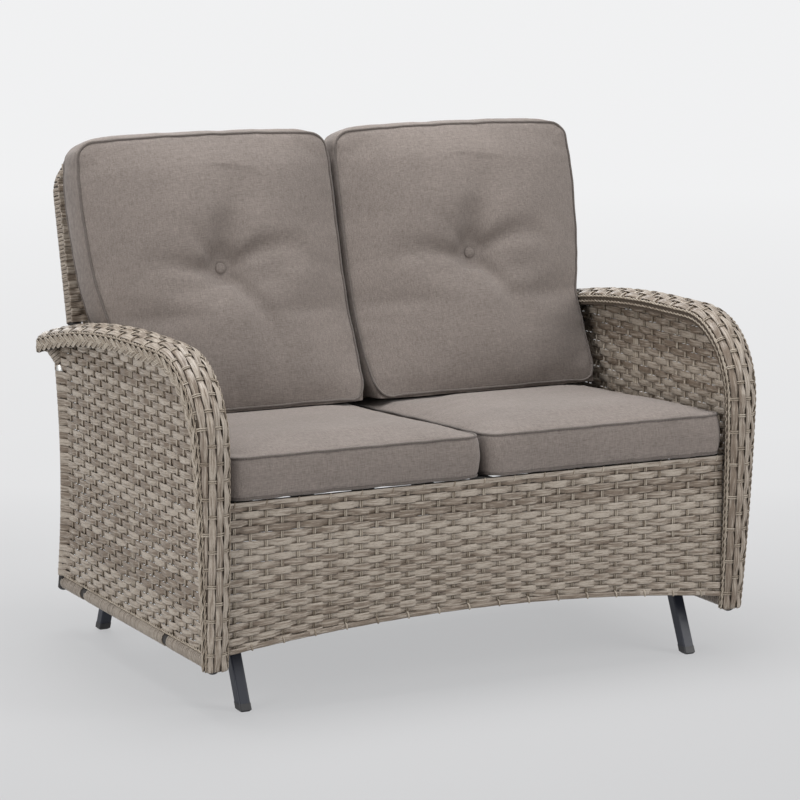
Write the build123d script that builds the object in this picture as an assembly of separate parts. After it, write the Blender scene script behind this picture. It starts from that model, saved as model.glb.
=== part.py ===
from build123d import *
import os
from math import asin, cos, radians, sin, sqrt, tan

# A two-seat patio glider. A woven seat unit hangs by four swing links from a low
# splayed steel base, so the seat glides fore and aft and stays level.
# Millimetres. X runs to the right as seen from the front, Y to the back, Z up.
# Left and right in the names are as seen from the front.
# The origin is on the floor under the middle of the outer box.

os.makedirs("parts", exist_ok=True)

# Overall sizes
overall_width = 1150.0
overall_depth = 805.0
arm_top_z = 646.0
back_rail_z = 905.0
front_y = -overall_depth / 2
arm_outer_x = overall_width / 2

# Fits shared by all sub-assemblies
clearance = 0.3
running_gap = 0.05
cut_overrun = 40.0

# Frame tubes
frame_tube_radius = 11.0
frame_tube_wall = 1.5
rod_radius = 6.0
back_tube_radius = 12.5
rib_radius = 8.0
skin_thickness = 4.0
wrap_thickness = 2.5
wrap_radius = frame_tube_radius + wrap_thickness
back_wrap_radius = back_tube_radius + wrap_thickness

# Arm: the crown line of the woven band, seen from the side
nose_radius = 170.0
nose_start_z = arm_top_z - nose_radius
shin_radius = 3700.0
flat_end_y = -130.0
fall_radius = 2050.0
fall_turn = 13.0
fall_tail = 42.0

# Arm: the woven band across its width
band_foot_width = 41.0
band_nose_width = 57.0
band_top_width = 70.0
arm_inner_x = arm_outer_x - band_top_width
inner_edge_foot_depth = 16.0
inner_edge_top_depth = 28.0
outer_edge_foot_depth = 17.0
outer_edge_top_depth = 38.0
inner_shoulder_share = 0.46
outer_shoulder_share = 0.38
outer_tuck = 4.0

# Side frame
side_inset = 23.0
side_x = arm_inner_x + side_inset
side_inner_x = side_x - frame_tube_radius
post_depth = 17.0
rod_depth = 17.3
rod_inset = 16.0
rod_x = arm_outer_x - rod_inset
rod_start_z = 415.0
rod_end_inset = 4.0
rod_end_x = side_x + rod_end_inset
rod_end_radius = 20.0
rear_post_waist_y = 328.5
rear_post_waist_z = 325.0
rear_post_top_z = 528.0
cap_dome = 6.0
cap_plug = 4.0
side_panel_offset = 1.0
rear_post_radius = 972.0
strut_out = 18.0
strut_overrun_share = 0.4
cap_play = 1.2
wrap_gap = 17.0
skin_gap = 0.5
ring_drop = 6.0
side_panel_thickness = 5.0

# Seat deck
deck_slope = 3.0
cushion_front_y = -390.0
deck_front_z = 384.7
strap_thickness = 2.0
strap_width = 44.0
strap_count = 9
deck_rear_rail_y = 236.0
deck_middle_y = -70.0
deck_side_x = side_inner_x - clearance - frame_tube_radius
apron_thickness = 5.0
apron_half_width = arm_inner_x - clearance
apron_top_z = 379.0
apron_end_z = 115.0
apron_middle_z = 148.0
apron_rail_rise = 14.0
rear_stretcher_z = 200.0
deck_side_rear_y = 340.0

# Back frame
recline = 14.0
back_post_outset = 9.0
back_post_x = arm_inner_x + back_post_outset
back_rail_y = 387.5
back_corner_radius = 62.0
back_panel_thickness = 5.0
back_panel_rise = 8.0
back_wrap_foot_z = 607.0

# Base
base_inset = 71.0
base_x = side_x - base_inset
base_tube = 22.0
base_wall = 2.0
base_rail_z = 300.0
base_rail_front_y = -222.0
base_rail_rear_y = 262.0
leg_splay = 25.0
front_foot_y = -337.0
rear_foot_y = 338.0
foot_height = 14.0
foot_wall = 0.5
foot_chamfer = 3.0
foot_corner = 3.0

# Glider linkage
front_pivot_y = -175.0
rear_pivot_y = 228.0
link_length = 165.0
link_width = 30.0
link_waist = 20.0
link_thickness = 5.0
link_bore_radius = 8.0
bush_length = 9.0
bolt_radius = 5.0
bolt_head_radius = 8.5
bolt_head_height = 6.5
bolt_tip = 2.0
bracket_thickness = 4.0
hanger_neck = 16.0
hanger_foot_drop = 8.0
hanger_rise = 36.5
pivot_low_z = base_rail_z - link_length

# Foot of the side frame, hung below the lower pivots
post_stub = 12.5
band_foot_lift = 2.0
side_rail_z = pivot_low_z - hanger_rise
post_foot_z = side_rail_z - post_stub
band_foot_z = post_foot_z + band_foot_lift

# Arm brackets at the rear posts
ring_height = 12.0
ring_wall = 1.6
ring_bolt_radius = 5.5
ring_bolt_length = 9.0

# Cushions
cushion_split = 1.5
cushion_play = 0.5
seat_cushion_width = arm_inner_x - cushion_split - cushion_play
seat_cushion_rear_y = 224.0
cushion_border = 80.0
seat_crown = 12.0
cushion_corner = 32.0
cushion_draw = 4.0
border_bulge = 3.0
back_cushion_height = 503.0
back_cushion_inner_x = 5.0
back_foot_inset = 4.0
back_head_outset = 22.0
back_cushion_foot_x = arm_inner_x - back_foot_inset
back_cushion_head_x = arm_inner_x + back_head_outset
rear_seam_offset = 30.0
back_border_top = 80.0
back_border_foot = 142.0
front_crown = 44.0
back_corner_inset = 40.0
tuft_height = 243.0
tuft_radius = 74.0
tuft_depth = 30.0
tuft_x = (back_cushion_inner_x + back_cushion_head_x) / 2
button_radius = 11.0
button_thickness = 7.0
button_rim = 2.8
button_play = 2.0
tuft_lip = 6.0
tuft_knee_share = 0.42
tuft_rise_share = 0.34
back_plane_drop = 25.0


def save(name, *solids):
    """Write one piece, or a group of like pieces, to its own file."""
    shape = solids[0] if len(solids) == 1 else Compound(children=list(solids))
    export_step(shape, f"parts/{name}.step")


def mirrored(shape):
    """The same piece for the other side of the seat."""
    return mirror(shape, about=Plane.YZ)


def save_pair(name, right):
    """Write a piece of the right side and its mirror image."""
    save(f"{name}_right", right)
    save(f"{name}_left", mirrored(right))


def save_both_sides(name, right):
    """Write like pieces of both sides to one file, the left ones mirrored."""
    save(name, *right, *[mirrored(piece) for piece in right])


def tube(path, radius, bore=0.0):
    """A round tube or rod along a path."""
    start = Plane(origin=path @ 0, z_dir=path % 0)
    section = Circle(radius)
    if bore > 0:
        section = section - Circle(bore)
    return sweep(start * section, path=path)


def frame_tube(path):
    """A hollow tube of the side frames and the deck."""
    return tube(path, frame_tube_radius, frame_tube_radius - frame_tube_wall)


def solid_along_x(start_x, length, radius, y, z, bore=0.0):
    """A round pin or sleeve along X."""
    section = Circle(radius)
    if bore > 0:
        section = section - Circle(bore)
    return extrude(Plane(origin=(start_x, y, z), z_dir=(1, 0, 0)) * section, length)


def back_y(z):
    """Y of the back frame's centre plane at a height."""
    return back_rail_y - (back_rail_z - z) * tan(radians(recline))


def shin_y(z, depth):
    """Y of the arm's shin at a height below the nose, sunk by a depth behind the face."""
    radius = shin_radius - depth
    return front_y + shin_radius - sqrt(radius ** 2 - (nose_start_z - z) ** 2)


def fall_point(depth, turn):
    """Y and Z on the arm's fall, at a turn in degrees past the end of the flat."""
    radius = fall_radius - depth
    angle = radians(turn)
    return (flat_end_y + radius * sin(angle), arm_top_z - fall_radius + radius * cos(angle))


def tail_end(depth, tail):
    """Y and Z at the end of the straight tail that follows the fall."""
    y, z = fall_point(depth, fall_turn)
    return (y + tail * cos(radians(fall_turn)), z - tail * sin(radians(fall_turn)))


def arm_edges(depth, x, foot_z, tail):
    """The arm's side line: shin, nose, flat, fall and tail, each tangent to the next."""
    half_z = (foot_z + nose_start_z) / 2
    face_y = front_y + depth
    level_z = arm_top_z - depth
    nose_y = front_y + nose_radius
    bend = (nose_radius - depth) * cos(radians(45))
    return [
        ThreePointArc((x, shin_y(foot_z, depth), foot_z), (x, shin_y(half_z, depth), half_z),
                      (x, face_y, nose_start_z)),
        ThreePointArc((x, face_y, nose_start_z), (x, nose_y - bend, nose_start_z + bend),
                      (x, nose_y, level_z)),
        Line((x, nose_y, level_z), (x, flat_end_y, level_z)),
        ThreePointArc((x, flat_end_y, level_z), (x, *fall_point(depth, fall_turn / 2)),
                      (x, *fall_point(depth, fall_turn))),
        Line((x, *fall_point(depth, fall_turn)), (x, *tail_end(depth, tail))),
    ]


def arm_line(depth, x, foot_z, tail):
    """The arm's side line as one wire."""
    return Wire(arm_edges(depth, x, foot_z, tail))


def blend(low, high, share):
    """A value between two others."""
    return low + (high - low) * share


def block(x_span, y_span, z_span):
    """A box between low and high limits along each axis."""
    sizes = [high - low for low, high in (x_span, y_span, z_span)]
    middle = [(low + high) / 2 for low, high in (x_span, y_span, z_span)]
    return Pos(*middle) * Box(*sizes)


def cut_above(shape, z):
    """Saw a piece off level, keeping what is below."""
    return shape - block((-overall_width, overall_width), (-overall_depth, overall_depth),
                         (z, z + overall_depth))


def cut_below(shape, z):
    """Saw a piece off level, keeping what is above."""
    return shape - block((-overall_width, overall_width), (-overall_depth, overall_depth),
                         (z - overall_depth, z))


def turned(plane, outline):
    """A turned piece: a half outline spun about the plane's Y axis, then placed."""
    return plane * revolve(make_face(outline), axis=Axis.Y)


def dome(radius, height, base, way):
    """Half of a domed end, from its rim to its crest on the axis, way being up or down."""
    sphere = (radius ** 2 + height ** 2) / (2 * height)
    half = asin(radius / sphere) / 2
    middle_y = base + way * (height - sphere + sphere * cos(half))
    return ThreePointArc((radius, base), (sphere * sin(half), middle_y), (0, base + way * height))


# Places worked out from the sizes
deck_plane = Plane(
    origin=(0, cushion_front_y, deck_front_z),
    x_dir=(1, 0, 0),
    z_dir=(0, sin(radians(deck_slope)), cos(radians(deck_slope))),
)
rail_sink = clearance + strap_thickness + running_gap + frame_tube_radius
front_rail_z = deck_front_z - rail_sink
deck_front_rail_y = shin_y(front_rail_z, post_depth) + 2 * frame_tube_radius + clearance
apron_front_y = deck_front_rail_y - frame_tube_radius - clearance - apron_thickness
front_rail_half = side_x + side_panel_offset - clearance
cross_half = side_inner_x - clearance
inner_cross_half = deck_side_x - frame_tube_radius - clearance


def deck_point(x, y, sink):
    """A point under the deck plane at a Y of the whole seat."""
    slope = radians(deck_slope)
    along = (y - cushion_front_y + sink * sin(slope)) / cos(slope)
    return deck_plane.from_local_coords(Vector(x, along, -sink))


def rear_post_y(z):
    """Y of the rear post's centre at a height."""
    rise = z - rear_post_waist_z
    return rear_post_waist_y + rear_post_radius - sqrt(rear_post_radius ** 2 - rise ** 2)


# Arm band
# Places along the crown line where the band's section is set. Each row takes one
# edge of the line: its number of sections, and its width and depth shares at both ends.
band_run_shares = (
    (5, 0.0, 1.0, 0.0, 0.8),
    (13, 1.0, 2.0, 0.8, 1.0),
    (1, 2.0, 2.0, 1.0, 1.0),
    (9, 2.0, 2.0, 1.0, 1.0),
    (1, 2.0, 2.0, 1.0, 1.0),
)


def band_section(point, along, width_share, depth_share):
    """One cross-section of the woven band: crowned, with two edges turned under."""
    if width_share < 1:
        width = blend(band_foot_width, band_nose_width, width_share)
    else:
        width = blend(band_nose_width, band_top_width, width_share - 1)
    inner_depth = blend(inner_edge_foot_depth, inner_edge_top_depth, depth_share)
    outer_depth = blend(outer_edge_foot_depth, outer_edge_top_depth, depth_share)
    plane = Plane(origin=(arm_inner_x, point.Y, point.Z), x_dir=(1, 0, 0), z_dir=along)
    inner_shoulder = inner_depth * inner_shoulder_share
    outer_shoulder = outer_depth * outer_shoulder_share
    skin = skin_thickness
    outer_foot = (width - outer_tuck * depth_share, outer_depth)
    outer_foot_in = (outer_foot[0] - skin, outer_depth)
    outer_in = (width - skin, outer_shoulder + skin / 2)
    inner_in = (skin, inner_shoulder + skin / 2)
    outline = [
        Line((0, inner_depth), (0, inner_shoulder)),
        ThreePointArc((0, inner_shoulder), (width / 2, 0), (width, outer_shoulder)),
        Line((width, outer_shoulder), outer_foot),
        Line(outer_foot, outer_foot_in),
        Line(outer_foot_in, outer_in),
        ThreePointArc(outer_in, (width / 2, skin), inner_in),
        Line(inner_in, (skin, inner_depth)),
        Line((skin, inner_depth), (0, inner_depth)),
    ]
    return plane * make_face(outline)


def make_arm_band():
    """The woven skin over the arm, from its foot round the nose to the rear."""
    edges = arm_edges(0, 0, band_foot_z, fall_tail)
    sections = []
    for edge, shares in zip(edges, band_run_shares):
        count, width_low, width_high, depth_low, depth_high = shares
        for step in range(count):
            share = step / count
            width_share = blend(width_low, width_high, share)
            depth_share = blend(depth_low, depth_high, share)
            sections.append(band_section(edge @ share, edge % share, width_share, depth_share))
    last_shares = band_run_shares[-1]
    sections.append(band_section(edges[-1] @ 1, edges[-1] % 1, last_shares[2], last_shares[4]))
    post_hole = tube(back_post_line(1), back_tube_radius + skin_gap)
    rail_notch = tube(apron_rail_line(), rib_radius + clearance)
    return loft(sections, ruled=True) - post_hole - rail_notch


# Side frames
rod_tail = fall_tail - rod_radius - clearance


def back_post_line(sign):
    """Centre line of one upright of the back frame, run past both ends."""
    low_z = deck_front_z - 2 * frame_tube_radius - cut_overrun
    return Line((sign * back_post_x, back_y(low_z), low_z),
                (sign * back_post_x, back_y(back_rail_z), back_rail_z))


def rear_post_line(low_z, high_z):
    """Centre line of the rear post between two heights, bowed to the front."""
    middle_z = (low_z + high_z) / 2
    points = [(side_x, rear_post_y(z), z) for z in (low_z, middle_z, high_z)]
    return ThreePointArc(*points)


def make_arm_tube():
    """The front post and the arm's inner tube, one bent tube."""
    line = arm_line(post_depth, side_x, post_foot_z - cap_dome, fall_tail)
    whole = cut_below(frame_tube(line), post_foot_z)
    meet_z = tail_end(post_depth, fall_tail)[1]
    stop_y = back_y(meet_z) - back_tube_radius / cos(radians(recline)) - clearance
    return whole - block((0, overall_width), (stop_y, overall_depth), (0, overall_depth))


def make_arm_rod():
    """The arm's outer rod: from the front post round the nose, its tail turned in."""
    level_z = arm_top_z - rod_depth
    bend_y = flat_end_y + (fall_radius - rod_depth) * tan(radians(fall_turn / 2))
    end_y, end_z = tail_end(rod_depth, rod_tail)
    start_x = side_x + frame_tube_radius + clearance + rod_radius
    line = FilletPolyline(
        (start_x, front_y + rod_depth, rod_start_z),
        (rod_x, front_y + rod_depth, level_z),
        (rod_x, bend_y, level_z),
        (rod_x, end_y, end_z),
        (rod_end_x, end_y, end_z),
        radius=[nose_radius - rod_depth, fall_radius - rod_depth, rod_end_radius],
    )
    return tube(line, rod_radius)


def make_rear_post():
    """The bowed rear post, sawn level at both ends."""
    line = rear_post_line(post_foot_z - cap_dome, rear_post_top_z + cap_dome)
    return cut_above(cut_below(frame_tube(line), post_foot_z), rear_post_top_z)


def make_arm_strut():
    """The strut that leans out from the rear post to the arm's tail."""
    end_y, end_z = tail_end(rod_depth, rod_tail)
    top_z = end_z - rod_radius - clearance
    foot = Vector(side_x, rear_post_y(rear_post_top_z), rear_post_top_z)
    lean = Vector(strut_out, end_y - foot.Y, top_z - foot.Z)
    line = Line(foot - lean * strut_overrun_share, foot + lean * (1 + strut_overrun_share))
    return cut_above(cut_below(frame_tube(line), rear_post_top_z + clearance), top_z)


def make_post_cap(y):
    """A domed plug in the open foot of a post."""
    plug_radius = frame_tube_radius - frame_tube_wall - cap_play
    plane = Plane(origin=(side_x, y, post_foot_z), x_dir=(1, 0, 0), z_dir=(0, -1, 0))
    return turned(plane, [
        Line((0, cap_plug), (plug_radius, cap_plug)),
        Line((plug_radius, cap_plug), (plug_radius, 0)),
        Line((plug_radius, 0), (frame_tube_radius, 0)),
        dome(frame_tube_radius, cap_dome, 0, -1),
        Line((0, -cap_dome), (0, cap_plug)),
    ])


side_rail_front_y = shin_y(side_rail_z, post_depth)
side_rail_rear_y = rear_post_y(side_rail_z)


def cope_at_posts(shape):
    """Trim a piece to the round of the front and rear posts, with a clearance."""
    hug = frame_tube_radius + clearance
    front = tube(arm_line(post_depth, side_x, post_foot_z, fall_tail), hug)
    rear = tube(rear_post_line(post_foot_z, rear_post_top_z), hug)
    return shape - front - rear


def make_side_rail():
    """The level rail at the foot of a side frame, its ends coped to the posts."""
    line = Line((side_x, side_rail_front_y, side_rail_z), (side_x, side_rail_rear_y, side_rail_z))
    return cope_at_posts(frame_tube(line))


def make_rail_wraps():
    """The wound strand on a side rail, parted where the two hangers are welded on."""
    gaps = [front_pivot_y, rear_pivot_y]
    starts = [side_rail_front_y + wrap_radius] + [y + wrap_gap / 2 for y in gaps]
    ends = [y - wrap_gap / 2 for y in gaps] + [side_rail_rear_y - wrap_radius]
    wraps = []
    for low, high in zip(starts, ends):
        line = Line((side_x, low, side_rail_z), (side_x, high, side_rail_z))
        wrap = tube(line, wrap_radius, frame_tube_radius + running_gap)
        wraps.append(cope_at_posts(wrap))
    return wraps


def make_side_panel():
    """The woven side wall, its edges hugging the tubes round it."""
    x = side_x + side_panel_offset
    top = arm_edges(post_depth, x, side_rail_z, fall_tail)
    rear_low = (x, rear_post_y(side_rail_z), side_rail_z)
    rear_mid = (x, rear_post_y(rear_post_waist_z), rear_post_waist_z)
    rear_top = (x, rear_post_y(rear_post_top_z), rear_post_top_z)
    outline = [
        *top,
        Line(top[-1] @ 1, rear_top),
        ThreePointArc(rear_top, rear_mid, rear_low),
        Line(rear_low, top[0] @ 0),
    ]
    sheet = extrude(make_face(outline), side_panel_thickness, dir=(1, 0, 0))
    sheet = cope_at_posts(sheet)
    sheet = sheet - tube(ring_line(), frame_tube_radius + ring_wall + clearance)
    rail = Line((side_x, front_y, side_rail_z), (side_x, overall_depth / 2, side_rail_z))
    sheet = sheet - tube(rail, wrap_radius + clearance)
    tail_y = rear_post_y(rear_post_top_z) - wrap_radius
    sheet = sheet - block((0, overall_width), (tail_y, overall_depth),
                          (rear_post_top_z, overall_depth))
    pieces = sorted(sheet.solids(), key=lambda solid: solid.volume)
    return pieces[-1]


def ring_line():
    """The stretch of the rear post that the bright ring clamps."""
    return rear_post_line(rear_post_top_z - ring_drop - ring_height, rear_post_top_z - ring_drop)


def make_arm_bracket():
    """The bright ring that clamps the arm's strut to the rear post."""
    return tube(ring_line(), frame_tube_radius + ring_wall, frame_tube_radius + running_gap)


def make_arm_bracket_bolt():
    """The dark bolt on the ring's rear, square to the post."""
    middle = ring_line() @ 0.5
    along = ring_line() % 0.5
    outward = Vector(0, along.Z, -along.Y)
    origin = middle + outward * (frame_tube_radius + ring_wall + clearance)
    plane = Plane(origin=origin, x_dir=(1, 0, 0), z_dir=outward)
    return extrude(plane * RegularPolygon(ring_bolt_radius, 6), ring_bolt_length)


# Deck and apron
def deck_tube(start, end):
    """A deck tube between two points."""
    return frame_tube(Line(start, end))


def make_straps():
    """The elastic straps that lie over the deck's cross tubes."""
    span = 2 * inner_cross_half - strap_width
    length = deck_rear_rail_y - deck_front_rail_y + 2 * frame_tube_radius
    middle_y = (deck_rear_rail_y + deck_front_rail_y) / 2
    straps = []
    for index in range(strap_count):
        x = -span / 2 + span * index / (strap_count - 1)
        centre = deck_point(x, middle_y, clearance + strap_thickness / 2)
        place = Plane(origin=centre, x_dir=(1, 0, 0), z_dir=deck_plane.z_dir)
        straps.append(place * Box(strap_width, length, strap_thickness))
    return straps


def make_apron():
    """The woven front apron with its arched lower edge."""
    half = apron_half_width
    outline = [
        Line((-half, apron_end_z), (-half, apron_top_z)),
        Line((-half, apron_top_z), (half, apron_top_z)),
        Line((half, apron_top_z), (half, apron_end_z)),
        ThreePointArc((half, apron_end_z), (0, apron_middle_z), (-half, apron_end_z)),
    ]
    plane = Plane(origin=(0, apron_front_y, 0), x_dir=(1, 0, 0), z_dir=(0, -1, 0))
    return extrude(plane * make_face(outline), -apron_thickness)


def apron_rail_line():
    """Centre line of the arched rail behind the apron, run past the front posts' inner sides."""
    y = apron_front_y + apron_thickness + clearance + rib_radius
    end_z = apron_end_z + apron_rail_rise
    return ThreePointArc((-side_x, y, end_z), (0, y, apron_middle_z + apron_rail_rise),
                         (side_x, y, end_z))


def make_apron_rail():
    """The arched rail behind the apron's lower edge, sawn upright at the front posts."""
    rail = tube(apron_rail_line(), rib_radius, rib_radius - frame_tube_wall)
    keep = block((-cross_half, cross_half), (-overall_depth, overall_depth), (0, overall_width))
    return rail & keep


# Back
recline_dir = Vector(0, sin(radians(recline)), cos(radians(recline)))
back_face_lift = back_wrap_radius + clearance + back_panel_thickness


def back_plane(lift):
    """A plane along the recline, a lift in front of the back frame's centre plane."""
    origin_z = deck_front_z + cushion_border
    origin = Vector(0, back_y(origin_z), origin_z)
    forward = Vector(0, -cos(radians(recline)), sin(radians(recline)))
    return Plane(origin=origin + forward * lift, x_dir=(1, 0, 0), z_dir=recline_dir)


def back_height(z):
    """Distance up the recline from the back plane's origin to a height."""
    return (z - deck_front_z - cushion_border) / cos(radians(recline))


def make_back_line(foot_z):
    """The back frame's bent line, up one side, over and down the other."""
    corners = [
        (-back_post_x, back_y(foot_z), foot_z),
        (-back_post_x, back_y(back_rail_z), back_rail_z),
        (back_post_x, back_y(back_rail_z), back_rail_z),
        (back_post_x, back_y(foot_z), foot_z),
    ]
    return FilletPolyline(*corners, radius=back_corner_radius)


def deck_blocker(low, high):
    """Everything between two heights over the deck plane, for trimming."""
    middle = Plane(origin=deck_plane.origin + deck_plane.z_dir * ((low + high) / 2),
                   x_dir=(1, 0, 0), z_dir=deck_plane.z_dir)
    return middle * Box(2 * overall_width, 3 * overall_depth, high - low)


def make_back_loop():
    """The bent tube of the back frame, its feet sawn to the deck's side rails."""
    line = make_back_line(deck_front_z - 2 * frame_tube_radius - cut_overrun)
    loop = tube(line, back_tube_radius, back_tube_radius - frame_tube_wall)
    trim = deck_blocker(-overall_depth / 2, -rail_sink + frame_tube_radius + clearance)
    return loop - trim


def make_back_wrap():
    """The wound strand on the back frame above the arms."""
    line = make_back_line(back_wrap_foot_z)
    return tube(line, back_wrap_radius, back_tube_radius + running_gap)


def panel_sheet(half, low, high):
    """A flat sheet behind the back plane's origin, between two heights up the recline."""
    return Pos(0, back_panel_thickness / 2, (low + high) / 2) * Box(
        2 * half, back_panel_thickness, high - low)


def make_back_panel():
    """The reclined woven back: between the arms below, and over the posts above them."""
    top = back_height(back_rail_z) + back_panel_rise
    step = back_height(back_wrap_foot_z)
    low = -cushion_border - cut_overrun
    narrow = panel_sheet(arm_inner_x - 2 * clearance, low, step)
    wide = panel_sheet(back_post_x + back_tube_radius, step, top)
    top_edges = wide.edges().filter_by(Axis.Y).group_by(Axis.Z)[-1]
    sheet = narrow + fillet(top_edges, back_corner_radius)
    return back_plane(back_face_lift) * sheet - deck_blocker(-overall_depth / 2, clearance)


def make_back_rib():
    """The upright rib behind the middle of the woven back."""
    plane = back_plane(back_wrap_radius - rib_radius)
    top = back_height(back_rail_z) - back_wrap_radius - clearance
    low = -cushion_border - cut_overrun
    line = Line(plane.from_local_coords(Vector(0, 0, low)),
                plane.from_local_coords(Vector(0, 0, top)))
    rib = tube(line, rib_radius, rib_radius - frame_tube_wall)
    return rib - deck_blocker(-overall_depth / 2, 0.0)


# Base
def slanted_post(foot_y, direction, size, corner, bore, low_z, high_z, x):
    """A square leg along the splay, sawn level at two heights."""
    lean = Vector(0, direction * sin(radians(leg_splay)), cos(radians(leg_splay)))
    plane = Plane(origin=Vector(x, foot_y, 0) - lean * cut_overrun, x_dir=(1, 0, 0), z_dir=lean)
    section = RectangleRounded(size, size, corner)
    if bore > 0:
        section = section - Rectangle(bore, bore)
    length = high_z / cos(radians(leg_splay)) + 2 * cut_overrun
    leg = extrude(plane * section, length)
    return cut_above(cut_below(leg, low_z), high_z)


def make_leg(foot_y, direction):
    """A splayed leg from its foot cap to the base rail."""
    top = base_rail_z - base_tube / 2
    bore = base_tube - 2 * base_wall
    return slanted_post(foot_y, direction, base_tube, foot_corner, bore, foot_height, top, base_x)


def make_foot(foot_y, direction, x):
    """A foot cap, a little proud of its leg, with a bevelled foot."""
    sections = []
    for z, inset in ((0, foot_chamfer), (foot_chamfer, 0), (foot_height, 0)):
        size = base_tube + 2 * foot_wall - 2 * inset
        y = foot_y + direction * z * tan(radians(leg_splay))
        section = RectangleRounded(size, size / cos(radians(leg_splay)), foot_corner)
        sections.append(Pos(x, y, z) * section)
    return loft(sections, ruled=True)


def square_tube(start, end):
    """A straight square tube, open at its ends."""
    line = Vector(*end) - Vector(*start)
    across = (0, 0, 1)
    plane = Plane(origin=start, x_dir=across, z_dir=line.normalized())
    section = RectangleRounded(base_tube, base_tube, foot_corner)
    section = section - Rectangle(base_tube - 2 * base_wall, base_tube - 2 * base_wall)
    return extrude(plane * section, line.length)


def leg_top_y(foot_y, direction):
    """Where a leg's centre line meets the base rail's underside."""
    return foot_y + direction * (base_rail_z - base_tube / 2) * tan(radians(leg_splay))


def make_base_rail():
    """A base rail with the four bolt holes of its two upper pivots."""
    rail = square_tube((base_x, base_rail_front_y, base_rail_z),
                       (base_x, base_rail_rear_y, base_rail_z))
    for y in (front_pivot_y, rear_pivot_y):
        hole = solid_along_x(base_x - base_tube, 2 * base_tube, bolt_radius + running_gap,
                             y, base_rail_z)
        rail = rail - hole
    return rail


# Glider linkage, stacked along X from the base rail out to the hanger
base_face_x = base_x + base_tube / 2
hanger_out_x = side_inner_x - clearance
hanger_in_x = hanger_out_x - bracket_thickness
bush_out_x = hanger_in_x - clearance
bush_in_x = bush_out_x - bush_length
link_in_x = bush_in_x + (bush_length - link_thickness) / 2
spacer_length = bush_in_x - clearance - base_face_x


def make_link(y):
    """A swing link: a flat bar with an eye at each end and a narrower waist."""
    eye = Circle(link_width / 2)
    bar = Rectangle(link_waist, link_length)
    outline = bar + Pos(0, link_length / 2) * eye + Pos(0, -link_length / 2) * eye
    inner = [vertex for vertex in outline.vertices()
             if abs(abs(vertex.X) - link_waist / 2) < clearance]
    outline = fillet(inner, link_waist / 2)
    for end in (-1, 1):
        outline = outline - Pos(0, end * link_length / 2) * Circle(link_bore_radius)
    plane = Plane(origin=(link_in_x, y, (base_rail_z + pivot_low_z) / 2),
                  x_dir=(0, 1, 0), z_dir=(1, 0, 0))
    return extrude(plane * outline, link_thickness)


def make_bushes(y):
    """The two plain bearings pressed in a link's eyes."""
    outer = link_bore_radius - running_gap / 2
    bore = bolt_radius + running_gap
    return [solid_along_x(bush_in_x, bush_length, outer, y, z, bore)
            for z in (base_rail_z, pivot_low_z)]


def hexagon_along_x(start_x, length, y, z, bore=0.0):
    """A hexagon head or nut with its axis along X."""
    section = RegularPolygon(bolt_head_radius, 6)
    if bore > 0:
        section = section - Circle(bore)
    plane = Plane(origin=(start_x, y, z), x_dir=(0, 1, 0), z_dir=(1, 0, 0))
    return extrude(plane * section, length)


def make_upper_bolt(y):
    """The bolt through the base rail that a link's upper eye turns on."""
    head_x = base_x - base_tube / 2 - bolt_head_height
    nut_x = bush_out_x + clearance
    tip_x = nut_x + bolt_head_height + bolt_tip
    head = hexagon_along_x(head_x, bolt_head_height, y, base_rail_z)
    shank_x = head_x + bolt_head_height
    bolt = head + solid_along_x(shank_x, tip_x - shank_x, bolt_radius, y, base_rail_z)
    nut = hexagon_along_x(nut_x, bolt_head_height, y, base_rail_z, bolt_radius + running_gap / 2)
    return [bolt, nut]


def make_spacer(y):
    """The sleeve that holds a link out from the base rail."""
    return solid_along_x(base_face_x, spacer_length, link_bore_radius, y, base_rail_z,
                         bolt_radius + running_gap)


def make_lower_bolt(y):
    """The bolt through a hanger that a link's lower eye turns on."""
    nut_x = bush_in_x - clearance - bolt_head_height
    tip_x = nut_x - bolt_tip
    head = hexagon_along_x(hanger_out_x, bolt_head_height, y, pivot_low_z)
    bolt = head + solid_along_x(tip_x, hanger_out_x - tip_x, bolt_radius, y, pivot_low_z)
    nut = hexagon_along_x(nut_x, bolt_head_height, y, pivot_low_z, bolt_radius + running_gap / 2)
    return [bolt, nut]


def make_hanger(y):
    """The plate welded to the side rail that carries a lower pivot."""
    rise = pivot_low_z - side_rail_z
    eye = Pos(0, rise) * Circle(link_width / 2)
    neck = Pos(0, (rise - hanger_foot_drop) / 2) * Rectangle(hanger_neck, rise + hanger_foot_drop)
    outline = eye + neck - Pos(0, rise) * Circle(bolt_radius + running_gap)
    plane = Plane(origin=(hanger_in_x, y, side_rail_z), x_dir=(0, 1, 0), z_dir=(1, 0, 0))
    return extrude(plane * outline, bracket_thickness)


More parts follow.
